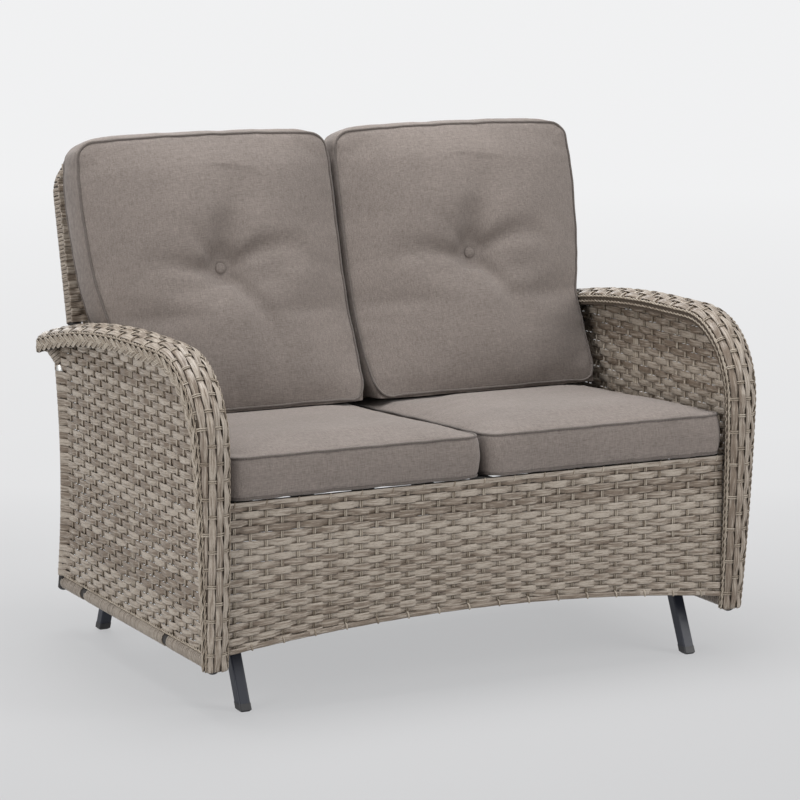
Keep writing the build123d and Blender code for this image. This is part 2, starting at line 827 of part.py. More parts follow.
# Cushions
def ring(x_span, y_span, inset, corner, draw):
    """A cushion outline with round corners and sides drawn in between them."""
    low_x, high_x = x_span[0] + inset, x_span[1] - inset
    low_y, high_y = y_span[0] + inset, y_span[1] - inset
    mid_x, mid_y = (low_x + high_x) / 2, (low_y + high_y) / 2
    tuck = corner * (1 - cos(radians(45)))
    edges = [
        ThreePointArc((low_x + corner, low_y), (mid_x, low_y + draw), (high_x - corner, low_y)),
        ThreePointArc((high_x - corner, low_y), (high_x - tuck, low_y + tuck),
                      (high_x, low_y + corner)),
        ThreePointArc((high_x, low_y + corner), (high_x - draw, mid_y), (high_x, high_y - corner)),
        ThreePointArc((high_x, high_y - corner), (high_x - tuck, high_y - tuck),
                      (high_x - corner, high_y)),
        ThreePointArc((high_x - corner, high_y), (mid_x, high_y - draw), (low_x + corner, high_y)),
        ThreePointArc((low_x + corner, high_y), (low_x + tuck, high_y - tuck),
                      (low_x, high_y - corner)),
        ThreePointArc((low_x, high_y - corner), (low_x + draw, mid_y), (low_x, low_y + corner)),
        ThreePointArc((low_x, low_y + corner), (low_x + tuck, low_y + tuck),
                      (low_x + corner, low_y)),
    ]
    return make_face(edges)


# Rings of a seat cushion from its foot to its crest: share of the border's height,
# share of the crown's height, and inset as a share of the corner radius.
seat_ring_shares = (
    (0.0, 0.0, 0.34),
    (0.04, 0.0, 0.10),
    (0.5, 0.0, 0.0),
    (0.96, 0.0, 0.10),
    (1.0, 0.42, 1.0),
    (1.0, 0.84, 2.6),
    (1.0, 1.0, 4.4),
)


def make_seat_cushion(lift):
    """A boxed seat cushion, crowned on top, on the deck plane or a lift above it."""
    length = (seat_cushion_rear_y - cushion_front_y) / cos(radians(deck_slope))
    x_span = (cushion_split, cushion_split + seat_cushion_width)
    sections = []
    for border_share, crown_share, inset_share in seat_ring_shares:
        height = cushion_border * border_share + seat_crown * crown_share + lift
        inset = cushion_corner * inset_share
        level = Pos(0, 0, height) * ring(x_span, (0, length), inset, cushion_corner, cushion_draw)
        sections.append(deck_plane * level)
    return loft(sections, ruled=True)


# Slices of a back cushion from below its foot to its crest: height share, corner
# inset share, foot flare share, crown share, spread share over the arms, girth share.
back_slice_shares = (
    (-0.08, 0.30, 1.0, 0.40, 0.0, 1.0),
    (0.0, 0.10, 0.86, 0.55, 0.0, 1.0),
    (0.13, 0.0, 0.52, 0.84, 0.0, 1.0),
    (0.3, 0.0, 0.18, 0.97, 0.0, 1.0),
    (0.48, 0.0, 0.06, 1.0, 0.7, 1.0),
    (0.7, 0.0, 0.02, 0.92, 1.0, 1.0),
    (0.87, 0.0, 0.0, 0.66, 1.0, 1.0),
    (0.955, 0.16, 0.0, 0.36, 1.0, 1.0),
    (0.99, 0.55, 0.0, 0.2, 1.0, 0.98),
    (1.005, 1.3, 0.0, 0.1, 1.0, 0.8),
    (1.012, 2.6, 0.0, 0.05, 1.0, 0.5),
)


def back_slice(height_share, inset_share, flare_share, crown_share, spread_share, girth_share):
    """One level slice of a back cushion: two seams each side, front and rear crowns."""
    low_x = back_cushion_inner_x + back_corner_inset * inset_share
    high_x = blend(back_cushion_foot_x, back_cushion_head_x, spread_share)
    high_x = high_x - back_corner_inset * inset_share
    border = blend(back_border_top, back_border_foot, flare_share)
    middle = rear_seam_offset + border / 2
    rear = -(middle - border * girth_share / 2)
    front = -(middle + border * girth_share / 2)
    rear_crown = (rear_seam_offset - clearance) * crown_share
    mid_x = (low_x + high_x) / 2
    mid_y = (rear + front) / 2
    edges = [
        ThreePointArc((low_x, rear), (mid_x, rear + rear_crown), (high_x, rear)),
        ThreePointArc((high_x, rear), (high_x + border_bulge, mid_y), (high_x, front)),
        ThreePointArc((high_x, front), (mid_x, front - front_crown * crown_share - clearance),
                      (low_x, front)),
        ThreePointArc((low_x, front), (low_x - border_bulge, mid_y), (low_x, rear)),
    ]
    return Pos(0, 0, back_cushion_height * height_share) * make_face(edges)


def tuft_outline():
    """Half outline of the sewn dimple, deepest at the button."""
    floor = button_radius + button_play
    knee = (tuft_radius * tuft_knee_share, -tuft_depth * tuft_rise_share)
    return [
        Line((0, -tuft_depth), (floor, -tuft_depth)),
        ThreePointArc((floor, -tuft_depth), knee, (tuft_radius, tuft_lip)),
        Line((tuft_radius, tuft_lip), (0, tuft_lip)),
        Line((0, tuft_lip), (0, -tuft_depth)),
    ]


cushion_plane = Plane(origin=back_plane(back_face_lift).origin - recline_dir * back_plane_drop,
                      x_dir=(1, 0, 0), z_dir=recline_dir)
tuft_front = rear_seam_offset + back_border_top + front_crown


def tuft_plane(offset):
    """A plane at the tuft, facing the sitter, an offset above the tuft's floor."""
    forward = tuft_front - tuft_depth + offset
    origin = cushion_plane.from_local_coords(Vector(tuft_x, -forward, tuft_height))
    facing = Vector(0, -cos(radians(recline)), sin(radians(recline)))
    return Plane(origin=origin, x_dir=(1, 0, 0), z_dir=facing)


def upright(plane):
    """The same place with its drawing plane through the facing axis."""
    return Plane(origin=plane.origin, x_dir=plane.x_dir, z_dir=-plane.y_dir)


def make_back_cushion():
    """A boxed back cushion, crowned front and rear, tufted, resting on the seat cushion."""
    sections = [cushion_plane * back_slice(*shares) for shares in back_slice_shares]
    body = loft(sections, ruled=True)
    body = body - turned(upright(tuft_plane(tuft_depth)), tuft_outline())
    body = body - deck_blocker(-overall_depth / 2, cushion_border)
    body = body - make_seat_cushion(2 * clearance)
    pieces = sorted(body.solids(), key=lambda solid: solid.volume)
    return pieces[-1]


def make_button():
    """A covered button, domed, on the floor of the tuft."""
    return turned(upright(tuft_plane(clearance)), [
        Line((0, 0), (button_radius, 0)),
        Line((button_radius, 0), (button_radius, button_rim)),
        dome(button_radius, button_thickness - button_rim, button_rim, 1),
        Line((0, button_thickness), (0, 0)),
    ])


def build_side_frames():
    """Write the tubes, skins and small parts of both side frames."""
    save_pair("arm_tube", make_arm_tube())
    save_pair("arm_rod", make_arm_rod())
    save_pair("rear_post", make_rear_post())
    save_pair("arm_strut", make_arm_strut())
    save_pair("side_rail", make_side_rail())
    save_pair("side_panel", make_side_panel())
    save_pair("arm_band", make_arm_band())
    cap_places = (shin_y(post_foot_z, post_depth), rear_post_y(post_foot_z))
    save_both_sides("rail_wraps", make_rail_wraps())
    save_both_sides("post_caps", [make_post_cap(y) for y in cap_places])
    save_both_sides("arm_bracket_rings", [make_arm_bracket()])
    save_both_sides("arm_bracket_bolts", [make_arm_bracket_bolt()])


def build_deck():
    """Write the deck, the apron and the rails between the side frames."""
    front = [deck_point(end * front_rail_half, deck_front_rail_y, rail_sink) for end in (-1, 1)]
    save("deck_front_rail", deck_tube(*front))
    for name, y in (("deck_middle_rail", deck_middle_y), ("deck_rear_rail", deck_rear_rail_y)):
        ends = [deck_point(end * inner_cross_half, y, rail_sink) for end in (-1, 1)]
        save(name, deck_tube(*ends))
    side_front_y = deck_front_rail_y + frame_tube_radius + clearance
    side_ends = [deck_point(deck_side_x, y, rail_sink) for y in (side_front_y, deck_side_rear_y)]
    save_pair("deck_side_rail", deck_tube(*side_ends))
    save("seat_straps", *make_straps())
    save("front_apron", make_apron())
    save("apron_rail", make_apron_rail())
    stretcher_y = rear_post_y(rear_stretcher_z)
    save("rear_stretcher", deck_tube((-cross_half, stretcher_y, rear_stretcher_z),
                                     (cross_half, stretcher_y, rear_stretcher_z)))


def build_back():
    """Write the reclined back."""
    save("back_loop", make_back_loop())
    save("back_wrap", make_back_wrap())
    save("back_panel", make_back_panel())
    save("back_rib", make_back_rib())


def build_base():
    """Write the splayed base."""
    feet = []
    for place, foot_y, direction in (("front", front_foot_y, 1), ("rear", rear_foot_y, -1)):
        save_pair(f"base_leg_{place}", make_leg(foot_y, direction))
        y = leg_top_y(foot_y, direction)
        half = base_x - base_tube / 2
        save(f"base_cross_{place}", square_tube((-half, y, base_rail_z), (half, y, base_rail_z)))
        feet.append(make_foot(foot_y, direction, base_x))
        feet.append(make_foot(foot_y, direction, -base_x))
    save_pair("base_rail", make_base_rail())
    save("foot_caps", *feet)


def build_linkage():
    """Write the four swing links with their bolts, bushes, spacers and hangers."""
    upper, lower, spacers, hangers = [], [], [], []
    for place, y in (("front", front_pivot_y), ("rear", rear_pivot_y)):
        save_pair(f"swing_link_{place}", make_link(y))
        bushes = make_bushes(y)
        save(f"link_bushes_{place}_right", *bushes)
        save(f"link_bushes_{place}_left", *[mirrored(bush) for bush in bushes])
        hangers.append(make_hanger(y))
        upper += make_upper_bolt(y)
        lower += make_lower_bolt(y)
        spacers.append(make_spacer(y))
    save_both_sides("hangers", hangers)
    save_both_sides("upper_pivot_bolts", upper)
    save_both_sides("lower_pivot_bolts", lower)
    save_both_sides("pivot_spacers", spacers)


def build_cushions():
    """Write the four loose cushions and their two buttons."""
    save_pair("seat_cushion", make_seat_cushion(0.0))
    save_pair("back_cushion", make_back_cushion())
    save_pair("back_button", make_button())


build_side_frames()
build_deck()
build_back()
build_base()
build_linkage()
build_cushions()
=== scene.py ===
"""Looks of a two-seat woven patio glider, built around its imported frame. Metres, +Z up."""
import logging
import math
from collections.abc import Callable, Sequence
from dataclasses import dataclass, field
from enum import Enum
from functools import reduce

import bmesh
import bpy
import numpy as np
from mathutils import Matrix, Vector
from mathutils.bvhtree import BVHTree
from mathutils.kdtree import KDTree


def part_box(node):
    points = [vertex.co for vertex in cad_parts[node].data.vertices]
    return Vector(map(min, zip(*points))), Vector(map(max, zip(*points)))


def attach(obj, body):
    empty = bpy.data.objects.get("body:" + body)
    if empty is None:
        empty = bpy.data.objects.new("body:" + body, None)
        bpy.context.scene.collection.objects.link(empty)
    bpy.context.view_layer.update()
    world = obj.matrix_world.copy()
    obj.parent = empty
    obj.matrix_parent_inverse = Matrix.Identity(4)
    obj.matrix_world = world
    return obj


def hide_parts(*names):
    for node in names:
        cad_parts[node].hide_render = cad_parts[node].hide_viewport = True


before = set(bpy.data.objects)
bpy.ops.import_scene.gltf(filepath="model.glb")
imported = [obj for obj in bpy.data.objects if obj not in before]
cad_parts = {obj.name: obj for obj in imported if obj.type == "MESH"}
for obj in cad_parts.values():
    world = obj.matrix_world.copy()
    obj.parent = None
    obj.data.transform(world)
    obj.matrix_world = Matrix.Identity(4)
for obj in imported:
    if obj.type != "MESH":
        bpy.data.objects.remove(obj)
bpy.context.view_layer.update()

log = logging.getLogger("patio_glider")
Colour = tuple[float, float, float]
Socket = bpy.types.NodeSocket
Surface = tuple[Socket, Socket, Socket]
STRAND_DATA = "strand"
MERGE_DISTANCE = 1e-5
ACROSS = np.array([1.0, 0.0, 0.0])
REARWARD = np.array([0.0, 1.0, 0.0])
FORWARD = np.array([0.0, -1.0, 0.0])
UPRIGHT = np.array([0.0, 0.0, 1.0])
RECLINE = math.radians(14.0)
BACK_UP = np.array([0.0, math.sin(RECLINE), math.cos(RECLINE)])
BACK_AHEAD = np.array([0.0, -math.cos(RECLINE), math.sin(RECLINE)])


class Side(Enum):
    """The two sides of the seat, as seen from its front, with the sign of X."""

    LEFT = -1.0
    RIGHT = 1.0

    @property
    def word(self) -> str:
        """The side as it stands in the names of pieces."""
        return self.name.lower()


class Body(str, Enum):
    """The moving bodies that pieces ride on, those of the cushions without their side."""

    SEAT = "seat"
    SEAT_CUSHION = "seat_cushion"
    BACK_CUSHION = "back_cushion"

    def at(self, side: Side) -> str:
        """The body of one side."""
        return f"{self.value}_{side.word}"


class Slot(str, Enum):
    """Names of the record's material slots for wicker, cushion cloth and webbing."""

    WICKER = "wicker"
    CLOTH = "cushion_cloth"
    WEBBING = "webbing"


def unit(vectors: np.ndarray) -> np.ndarray:
    """Vectors scaled to a length of one."""
    return vectors / np.maximum(np.linalg.norm(vectors, axis=-1, keepdims=True), 1e-12)


def run_along(points: np.ndarray) -> np.ndarray:
    """The distance along a polyline at each of its points."""
    return np.concatenate([[0.0], np.cumsum(np.linalg.norm(np.diff(points, axis=0), axis=1))])


def resample(points: np.ndarray, spacing: float) -> tuple[np.ndarray, np.ndarray]:
    """Spread points evenly along a polyline.

    Args:
        points: The polyline's points, with any further columns carried along.
        spacing: About the distance between two new points.

    Returns:
        The new rows, and the distance along the line of each.
    """
    run = run_along(points[:, :3])
    along = np.linspace(0.0, run[-1], max(int(round(run[-1] / spacing)), 2) + 1)
    return np.stack([np.interp(along, run, column) for column in points.T], axis=1), along


def corners_of(mesh: bpy.types.Mesh, key: str = "co") -> np.ndarray:
    """One vector of each corner of a mesh.

    Args:
        mesh: The mesh.
        key: The vector's name.

    Returns:
        The vectors as rows.
    """
    flat = np.empty(len(mesh.vertices) * 3)
    mesh.vertices.foreach_get(key, flat)
    return flat.reshape(-1, 3)


def opened(mesh: bpy.types.Mesh, merge: bool = False) -> bmesh.types.BMesh:
    """Open a copy of a mesh for edits.

    Args:
        mesh: The mesh, which stays as it is.
        merge: Whether corners in one place are joined.

    Returns:
        The open copy.
    """
    work = bmesh.new()
    work.from_mesh(mesh)
    if merge:
        bmesh.ops.remove_doubles(work, verts=work.verts, dist=MERGE_DISTANCE)
    return work


def closed(work: bmesh.types.BMesh, name: str) -> bpy.types.Mesh:
    """Close an open mesh.

    Args:
        work: The open mesh, which is freed.
        name: The new mesh's name.

    Returns:
        The new mesh.
    """
    mesh = bpy.data.meshes.new(name)
    work.to_mesh(mesh)
    work.free()
    return mesh


def smoothed(mesh: bpy.types.Mesh) -> bpy.types.Mesh:
    """Shade a mesh smoothly.

    Args:
        mesh: The mesh.

    Returns:
        The same mesh.
    """
    mesh.polygons.foreach_set("use_smooth", np.ones(len(mesh.polygons), bool))
    mesh.update()
    return mesh


def linked(name: str, data: bpy.types.ID) -> bpy.types.Object:
    """Put a new object in the scene, at the origin.

    Args:
        name: Its name.
        data: Its mesh, lamp or camera.

    Returns:
        The object.
    """
    made = bpy.data.objects.new(name, data)
    bpy.context.scene.collection.objects.link(made)
    return made


# Shader node groups


class Nodes:
    """A node tree under construction, with short ways to add and link nodes."""

    def __init__(self, tree: bpy.types.NodeTree) -> None:
        """Work on one node tree."""
        self.tree = tree

    def feed(self, node: bpy.types.Node, key: str | int, value: object) -> None:
        """Link a socket to an input, or set the input's value.

        Args:
            node: The node.
            key: The input's name or place.
            value: A socket, a number, a vector or a colour.
        """
        target = node.inputs[key]
        if isinstance(value, bpy.types.NodeSocket):
            self.tree.links.new(value, target)
        elif isinstance(value, tuple) and target.type == "RGBA":
            target.default_value = (*value, 1.0)
        else:
            target.default_value = value

    def add(self, kind: str, feeds: dict[str | int, object] | None = None,
            **settings: object) -> bpy.types.Node:
        """Add a node.

        Args:
            kind: Its type.
            feeds: What goes into its inputs.
            settings: Its own options.

        Returns:
            The node.
        """
        node = self.tree.nodes.new(kind)
        for key, value in settings.items():
            setattr(node, key, value)
        for key, value in (feeds or {}).items():
            self.feed(node, key, value)
        return node

    def math(self, operation: str, a: object, b: object = 0.0) -> Socket:
        """A math node's value."""
        return self.add("ShaderNodeMath", {0: a, 1: b}, operation=operation).outputs[0]

    def total(self, *terms: tuple[Socket, float]) -> Socket:
        """The sum of values, each times its weight."""
        parts = [self.math("MULTIPLY", value, weight) for value, weight in terms]
        return reduce(lambda one, other: self.math("ADD", one, other), parts)

    def noise(self, vector: Socket, scale: float | Colour, detail: float) -> Socket:
        """A noise value about one half.

        Args:
            vector: Where the noise is read.
            scale: Its fineness, alike or for each axis.
            detail: How many finer layers it has.

        Returns:
            The value.
        """
        if isinstance(scale, tuple):
            vector = self.add("ShaderNodeVectorMath", {0: vector, 1: scale},
                              operation="MULTIPLY").outputs[0]
            scale = 1.0
        feeds = {"Vector": vector, "Scale": scale, "Detail": detail}
        return self.add("ShaderNodeTexNoise", feeds).outputs[0]

    def spread(self, value: Socket, low: float, high: float,
               to_low: float = 0.0, to_high: float = 1.0) -> Socket:
        """A value stretched from one span to another and held inside it."""
        feeds = dict(enumerate((value, low, high, to_low, to_high)))
        return self.add("ShaderNodeMapRange", feeds).outputs[0]

    def mix(self, share: object, a: object, b: object, blend: str = "MIX") -> Socket:
        """Two colours mixed by a share."""
        feeds = {0: share, 6: a, 7: b}
        return self.add("ShaderNodeMix", feeds, data_type="RGBA", blend_type=blend).outputs[2]


def surface_group(name: str, colours: Sequence[str], values: dict[str, float],
                  make: Callable[[Nodes, dict[str, Socket]], Surface]) -> bpy.types.NodeTree:
    """Make a node group that puts out a surface's colour, roughness and height.

    Args:
        name: The group's name.
        colours: Names of its colour inputs.
        values: Names and defaults of its number inputs.
        make: What adds its nodes, from the input sockets by name.

    Returns:
        The group.
    """
    tree = bpy.data.node_groups.new(name, "ShaderNodeTree")
    for label in colours:
        tree.interface.new_socket(label, in_out="INPUT", socket_type="NodeSocketColor")
    for label, default in values.items():
        made = tree.interface.new_socket(label, in_out="INPUT", socket_type="NodeSocketFloat")
        made.default_value = default
    outputs = {"Color": "NodeSocketColor", "Roughness": "NodeSocketFloat",
               "Height": "NodeSocketFloat"}
    for label, kind in outputs.items():
        tree.interface.new_socket(label, in_out="OUTPUT", socket_type=kind)
    work = Nodes(tree)
    given = {socket.name: socket for socket in work.add("NodeGroupInput").outputs}
    work.add("NodeGroupOutput", dict(zip(outputs, make(work, given))))
    return tree


def strand_surface(work: Nodes, given: dict[str, Socket]) -> Surface:
    """Extruded flat strand: long streaks of tone, fine grooves along its run, and painted shade
    along its two long edges.

    Args:
        work: The group's nodes.
        given: The group's inputs.

    Returns:
        Its colour, roughness and height.
    """
    vector = work.add("ShaderNodeAttribute", attribute_name=STRAND_DATA).outputs["Vector"]
    _, across, own_tone = work.add("ShaderNodeSeparateXYZ", {0: vector}).outputs
    streak = work.noise(vector, (26.0, 2.2, 60.0), 2.0)
    fibre = work.noise(vector, (55.0, 9.0, 90.0), 3.0)
    fine = work.noise(vector, (160.0, 22.0, 90.0), 2.0)
    tone = work.total((streak, 0.6), (fibre, 0.4), (work.math("SUBTRACT", own_tone, 0.5), 0.16))
    colour = work.mix(work.spread(tone, 0.42, 0.575), given["Brown"], given["Pale"])
    colour = work.mix(work.spread(fine, 0.55, 0.68, 0.0, 0.6), colour, given["Deep"])
    # Painted shade: each strand darkens towards the deep colour at its two long edges, where it
    # meets its neighbours.
    edge = work.spread(work.math("ABSOLUTE", across), 0.80, 1.0, 0.0, 0.7)
    colour = work.mix(edge, colour, given["Deep"])
    rough = work.math("ADD", given["Roughness"], work.math("MULTIPLY", fibre, 0.22))
    relief = work.math("ADD", fine, work.math("MULTIPLY", fibre, 0.8))
    return colour, work.math("SUBTRACT", rough, 0.11), relief


def thread_surface(work: Nodes, given: dict[str, Socket]) -> Surface:
    """Woven cloth: two sets of threads at right angles, heathered light and dark.

    Args:
        work: The group's nodes.
        given: The group's inputs.

    Returns:
        Its colour, roughness and height.
    """
    place = work.add("ShaderNodeTexCoord").outputs["Object"]
    across = work.noise(place, (95.0, 880.0, 880.0), 2.0)
    down = work.noise(place, (880.0, 95.0, 95.0), 2.0)
    speck = work.noise(place, 1300.0, 1.0)
    slub = work.noise(place, (14.0, 260.0, 260.0), 2.0)
    shade = work.spread(work.noise(place, 7.0, 2.0), 0.3, 0.7, 0.93, 1.05)
    tone = work.total((across, 0.40), (down, 0.34), (speck, 0.16), (slub, 0.10))
    colour = work.mix(work.spread(tone, 0.36, 0.64), given["Dark"], given["Light"])
    grey = work.add("ShaderNodeCombineXYZ", dict.fromkeys(range(3), shade)).outputs[0]
    rough = work.math("ADD", given["Roughness"], work.spread(tone, 0.36, 0.64, 0.05, -0.06))
    return work.mix(1.0, colour, grey, "MULTIPLY"), rough, work.math("ADD", across, down)


def coat_surface(work: Nodes, given: dict[str, Socket]) -> Surface:
    """Painted, plated or moulded skin: faint clouds of tone, orange peel, rubbed spots.

    Args:
        work: The group's nodes.
        given: The group's inputs.

    Returns:
        Its colour, roughness and height.
    """
    place = work.add("ShaderNodeTexCoord").outputs["Object"]
    cloud = work.noise(place, 14.0, 4.0)
    scuff = work.noise(place, (60.0, 60.0, 240.0), 5.0)
    share = work.math("MULTIPLY", work.spread(scuff, 0.56, 0.74), given["Rub"])
    share = work.math("ADD", share, work.math("MULTIPLY", work.spread(cloud, 0.45, 0.8), 0.12))
    rough = work.math("ADD", given["Roughness"], work.math("MULTIPLY", share, 0.4))
    return work.mix(share, given["Base"], given["Rubbed"]), rough, work.noise(place, 900.0, 2.0)


class Effect(Enum):
    """The shared surface effects, each with its group's name, inputs and maker."""

    STRAND = ("strand_tone", ("Brown", "Pale", "Deep"), {"Roughness": 0.5}, strand_surface)
    THREAD = ("heather_threads", ("Light", "Dark"), {"Roughness": 0.9}, thread_surface)
    COAT = ("coat", ("Base", "Rubbed"), {"Roughness": 0.4, "Rub": 0.2}, coat_surface)

    def tree(self) -> bpy.types.NodeTree:
        """The effect's node group, made at its first use."""
        return bpy.data.node_groups.get(self.value[0]) or surface_group(*self.value)


@dataclass(frozen=True)
class Finish:
    """A finish of the glider's own: one shared effect with its colours and values."""

    name: str
    effect: Effect
    colours: tuple[Colour, ...]
    roughness: float
    bump: float
    grain: float
    rub: float | None = None
    metallic: float = 0.0
    specular: float = 0.5
    sheen: float = 0.0
    sheen_roughness: float = 0.5

    def material(self) -> bpy.types.Material:
        """The finish as a material, made at its first use.

        Returns:
            The material.
        """
        label = f"{self.name}_finish"
        if label in bpy.data.materials:
            return bpy.data.materials[label]
        made = bpy.data.materials.new(label)
        made.use_nodes = True
        work = Nodes(made.node_tree)
        values = {**dict(zip(self.effect.value[1], self.colours)), "Roughness": self.roughness}
        if self.rub is not None:
            values["Rub"] = self.rub
        group = work.add("ShaderNodeGroup", values, node_tree=self.effect.tree()).outputs
        relief = work.add("ShaderNodeBump", {"Strength": self.bump, "Distance": self.grain,
                                             "Height": group["Height"]})
        feeds = {"Base Color": group["Color"], "Roughness": group["Roughness"],
                 "Normal": relief.outputs[0], "Metallic": self.metallic,
                 "Specular IOR Level": self.specular}
        if self.sheen > 0:
            feeds |= {"Sheen Weight": self.sheen, "Sheen Roughness": self.sheen_roughness}
        for key, value in feeds.items():
            work.feed(made.node_tree.nodes["Principled BSDF"], key, value)
        return made


def coat(name: str, base: Colour, rubbed: Colour, roughness: float, rub: float,
         metallic: float = 0.0, specular: float = 0.5) -> Finish:
    """A painted, plated or moulded finish."""
    return Finish(name, Effect.COAT, (base, rubbed), roughness, 0.08, 0.0003, rub, metallic,
                  specular)


def strand(name: str, brown: Colour, pale: Colour, deep: Colour, roughness: float) -> Finish:
    """A woven strand's finish."""
    return Finish(name, Effect.STRAND, (brown, pale, deep), roughness, 0.35, 0.0006,
                  specular=0.42)


def cloth(name: str, light: Colour, dark: Colour, sheen: float) -> Finish:
    """A cloth finish."""
    return Finish(name, Effect.THREAD, (light, dark), 0.92, 0.5, 0.0006, sheen=sheen)


FLAT_STRAND = strand("flat_strand", (0.185, 0.143, 0.108), (0.43, 0.375, 0.315),
                     (0.055, 0.040, 0.030), 0.40)
THIN_STRAND = strand("thin_strand", (0.225, 0.178, 0.132), (0.49, 0.43, 0.355),
                     (0.070, 0.052, 0.037), 0.42)
WRAP_STRAND = strand("wrap_strand", (0.165, 0.130, 0.102), (0.38, 0.33, 0.275),
                     (0.050, 0.037, 0.028), 0.42)
# Painted shade: the arm's skin under the weave is dark brown so that its gaps read as the shaded
# hollow inside the arm.
SHADE_SKIN = coat("under_skin", (0.080, 0.063, 0.049), (0.12, 0.10, 0.08), 0.8, 0.2,
                  specular=0.2)
SEAT_CLOTH = cloth("seat_cloth", (0.257, 0.219, 0.198), (0.138, 0.116, 0.103), 0.12)
PIPING_CLOTH = cloth("piping_cloth", (0.150, 0.128, 0.115), (0.085, 0.070, 0.062), 0.2)
WEBBING = cloth("webbing", (0.050, 0.048, 0.046), (0.022, 0.021, 0.020), 0.1)
LEG_PAINT = coat("leg_paint", (0.016, 0.019, 0.030), (0.036, 0.041, 0.056), 0.42, 0.25,
                 specular=0.35)
FRAME_PAINT = coat("frame_paint", (0.030, 0.027, 0.026), (0.065, 0.058, 0.053), 0.55, 0.2,
                   specular=0.25)
LINK_PAINT = coat("link_paint", (0.028, 0.028, 0.031), (0.085, 0.083, 0.080), 0.40, 0.5)
BOLT_BLACK = coat("bolt_black", (0.020, 0.020, 0.021), (0.11, 0.105, 0.10), 0.38, 0.6, 0.6)
BLACK_PLASTIC = coat("black_plastic", (0.014, 0.014, 0.016), (0.04, 0.04, 0.043), 0.5, 0.3)
ZINC = coat("zinc", (0.50, 0.50, 0.49), (0.36, 0.36, 0.355), 0.42, 0.5, 1.0)

NODE_FINISHES: tuple[tuple[str, Finish], ...] = (
    ("base_", LEG_PAINT), ("foot_caps", BLACK_PLASTIC), ("post_caps", BLACK_PLASTIC),
    ("upper_pivot", BOLT_BLACK), ("lower_pivot", BOLT_BLACK), ("arm_bracket_bolts", BOLT_BLACK),
    ("pivot_spacers", ZINC), ("swing_link", LINK_PAINT), ("hangers", LINK_PAINT),
    ("link_bushes", BLACK_PLASTIC), ("arm_bracket_rings", ZINC),
)


# Pieces


def settle(piece: bpy.types.Object, body: str, finish: Finish,
           replaces: Sequence[str] = ()) -> bpy.types.Object:
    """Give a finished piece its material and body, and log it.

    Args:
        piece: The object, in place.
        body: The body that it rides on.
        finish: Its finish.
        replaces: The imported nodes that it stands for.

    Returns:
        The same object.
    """
    piece.data.materials.clear()
    piece.data.materials.append(finish.material())
    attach(piece, body)
    if replaces:
        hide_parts(*replaces)
    log.info("%s: %d faces on %s", piece.name, len(piece.data.polygons), body)
    return piece


@dataclass(frozen=True)
class Blank:
    """A straight strand of unit size to copy: its mesh, and the ring and side of each corner."""

    mesh: bpy.types.Mesh
    ring: np.ndarray
    side: np.ndarray


class StrandBox:
    """Strands of one piece: flat or round, each laid along its own line."""

    blanks: dict[tuple[int, int], Blank] = {}

    def __init__(self, name: str, sides: int = 6) -> None:
        """Start an empty piece.

        Args:
            name: Its name, which its random draws start from.
            sides: How many sides each strand has.
        """
        self.name = name
        self.sides = sides
        self.whole = bmesh.new()
        self.places: list[np.ndarray] = []
        self.notes: list[np.ndarray] = []
        self.draw = np.random.default_rng(len(name) * 7919 + ord(name[0]) * 31 + ord(name[-1]))

    def blank(self, rings: int) -> Blank:
        """A closed strand to copy, made once and kept.

        Args:
            rings: How many rings it has.

        Returns:
            The strand.
        """
        key = (rings, self.sides)
        if key not in self.blanks:
            work = bmesh.new()
            bmesh.ops.create_cone(work, cap_ends=True, segments=self.sides, radius1=1.0,
                                  radius2=1.0, depth=1.0)
            if rings > 2:
                long_edges = [edge for edge in work.edges
                              if abs(edge.verts[0].co.z - edge.verts[1].co.z) > 0.5]
                bmesh.ops.subdivide_edges(work, edges=long_edges, cuts=rings - 2)
            mesh = closed(work, f"blank_{rings}_{self.sides}")
            corners = corners_of(mesh)
            turn = np.arctan2(corners[:, 1], corners[:, 0]) / (2 * math.pi) * self.sides
            ring = np.rint((corners[:, 2] + 0.5) * (rings - 1)).astype(int)
            side = np.rint(turn - turn[0]).astype(int) % self.sides
            self.blanks[key] = Blank(mesh, ring, side)
        return self.blanks[key]

    def lay(self, points: np.ndarray, normals: np.ndarray, width: np.ndarray | float,
            thickness: np.ndarray | float, flat: float = 0.35) -> None:
        """Lay one strand along a line.

        Args:
            points: The line's points.
            normals: The strand's outward direction at each point.
            width: Its width, everywhere or at each point.
            thickness: Its thickness, everywhere or at each point.
            flat: Below one the section is flat, and at one it is round.
        """
        blank = self.blank(len(points))
        ahead = unit(np.gradient(points, axis=0))
        across = unit(np.cross(normals, ahead))
        outward = np.cross(ahead, across)
        angle = 2 * math.pi * np.arange(self.sides) / self.sides
        wide = np.sign(np.cos(angle)) * np.abs(np.cos(angle)) ** flat
        high = np.sign(np.sin(angle)) * np.abs(np.sin(angle)) ** (0.5 + flat / 2)
        half_wide = np.broadcast_to(np.asarray(width) / 2, len(points))[blank.ring]
        half_high = np.broadcast_to(np.asarray(thickness) / 2, len(points))[blank.ring]
        place = points[blank.ring]
        place = place + across[blank.ring] * (half_wide * wide[blank.side])[:, None]
        place = place + outward[blank.ring] * (half_high * high[blank.side])[:, None]
        run = run_along(points) + self.draw.uniform(0.0, 40.0)
        tone = np.full(len(place), self.draw.uniform())
        self.whole.from_mesh(blank.mesh)
        self.places.append(place)
        self.notes.append(np.stack([run[blank.ring], wide[blank.side], tone], axis=1))

    def piece(self) -> bpy.types.Object:
        """Join all strands, with each strand's run kept as an attribute.

        Returns:
            The object.
        """
        mesh = closed(self.whole, self.name)
        mesh.vertices.foreach_set("co", np.concatenate(self.places).ravel())
        notes = mesh.attributes.new(STRAND_DATA, "FLOAT_VECTOR", "POINT")
        notes.data.foreach_set("vector", np.concatenate(self.notes).ravel())
        return linked(self.name, smoothed(mesh))


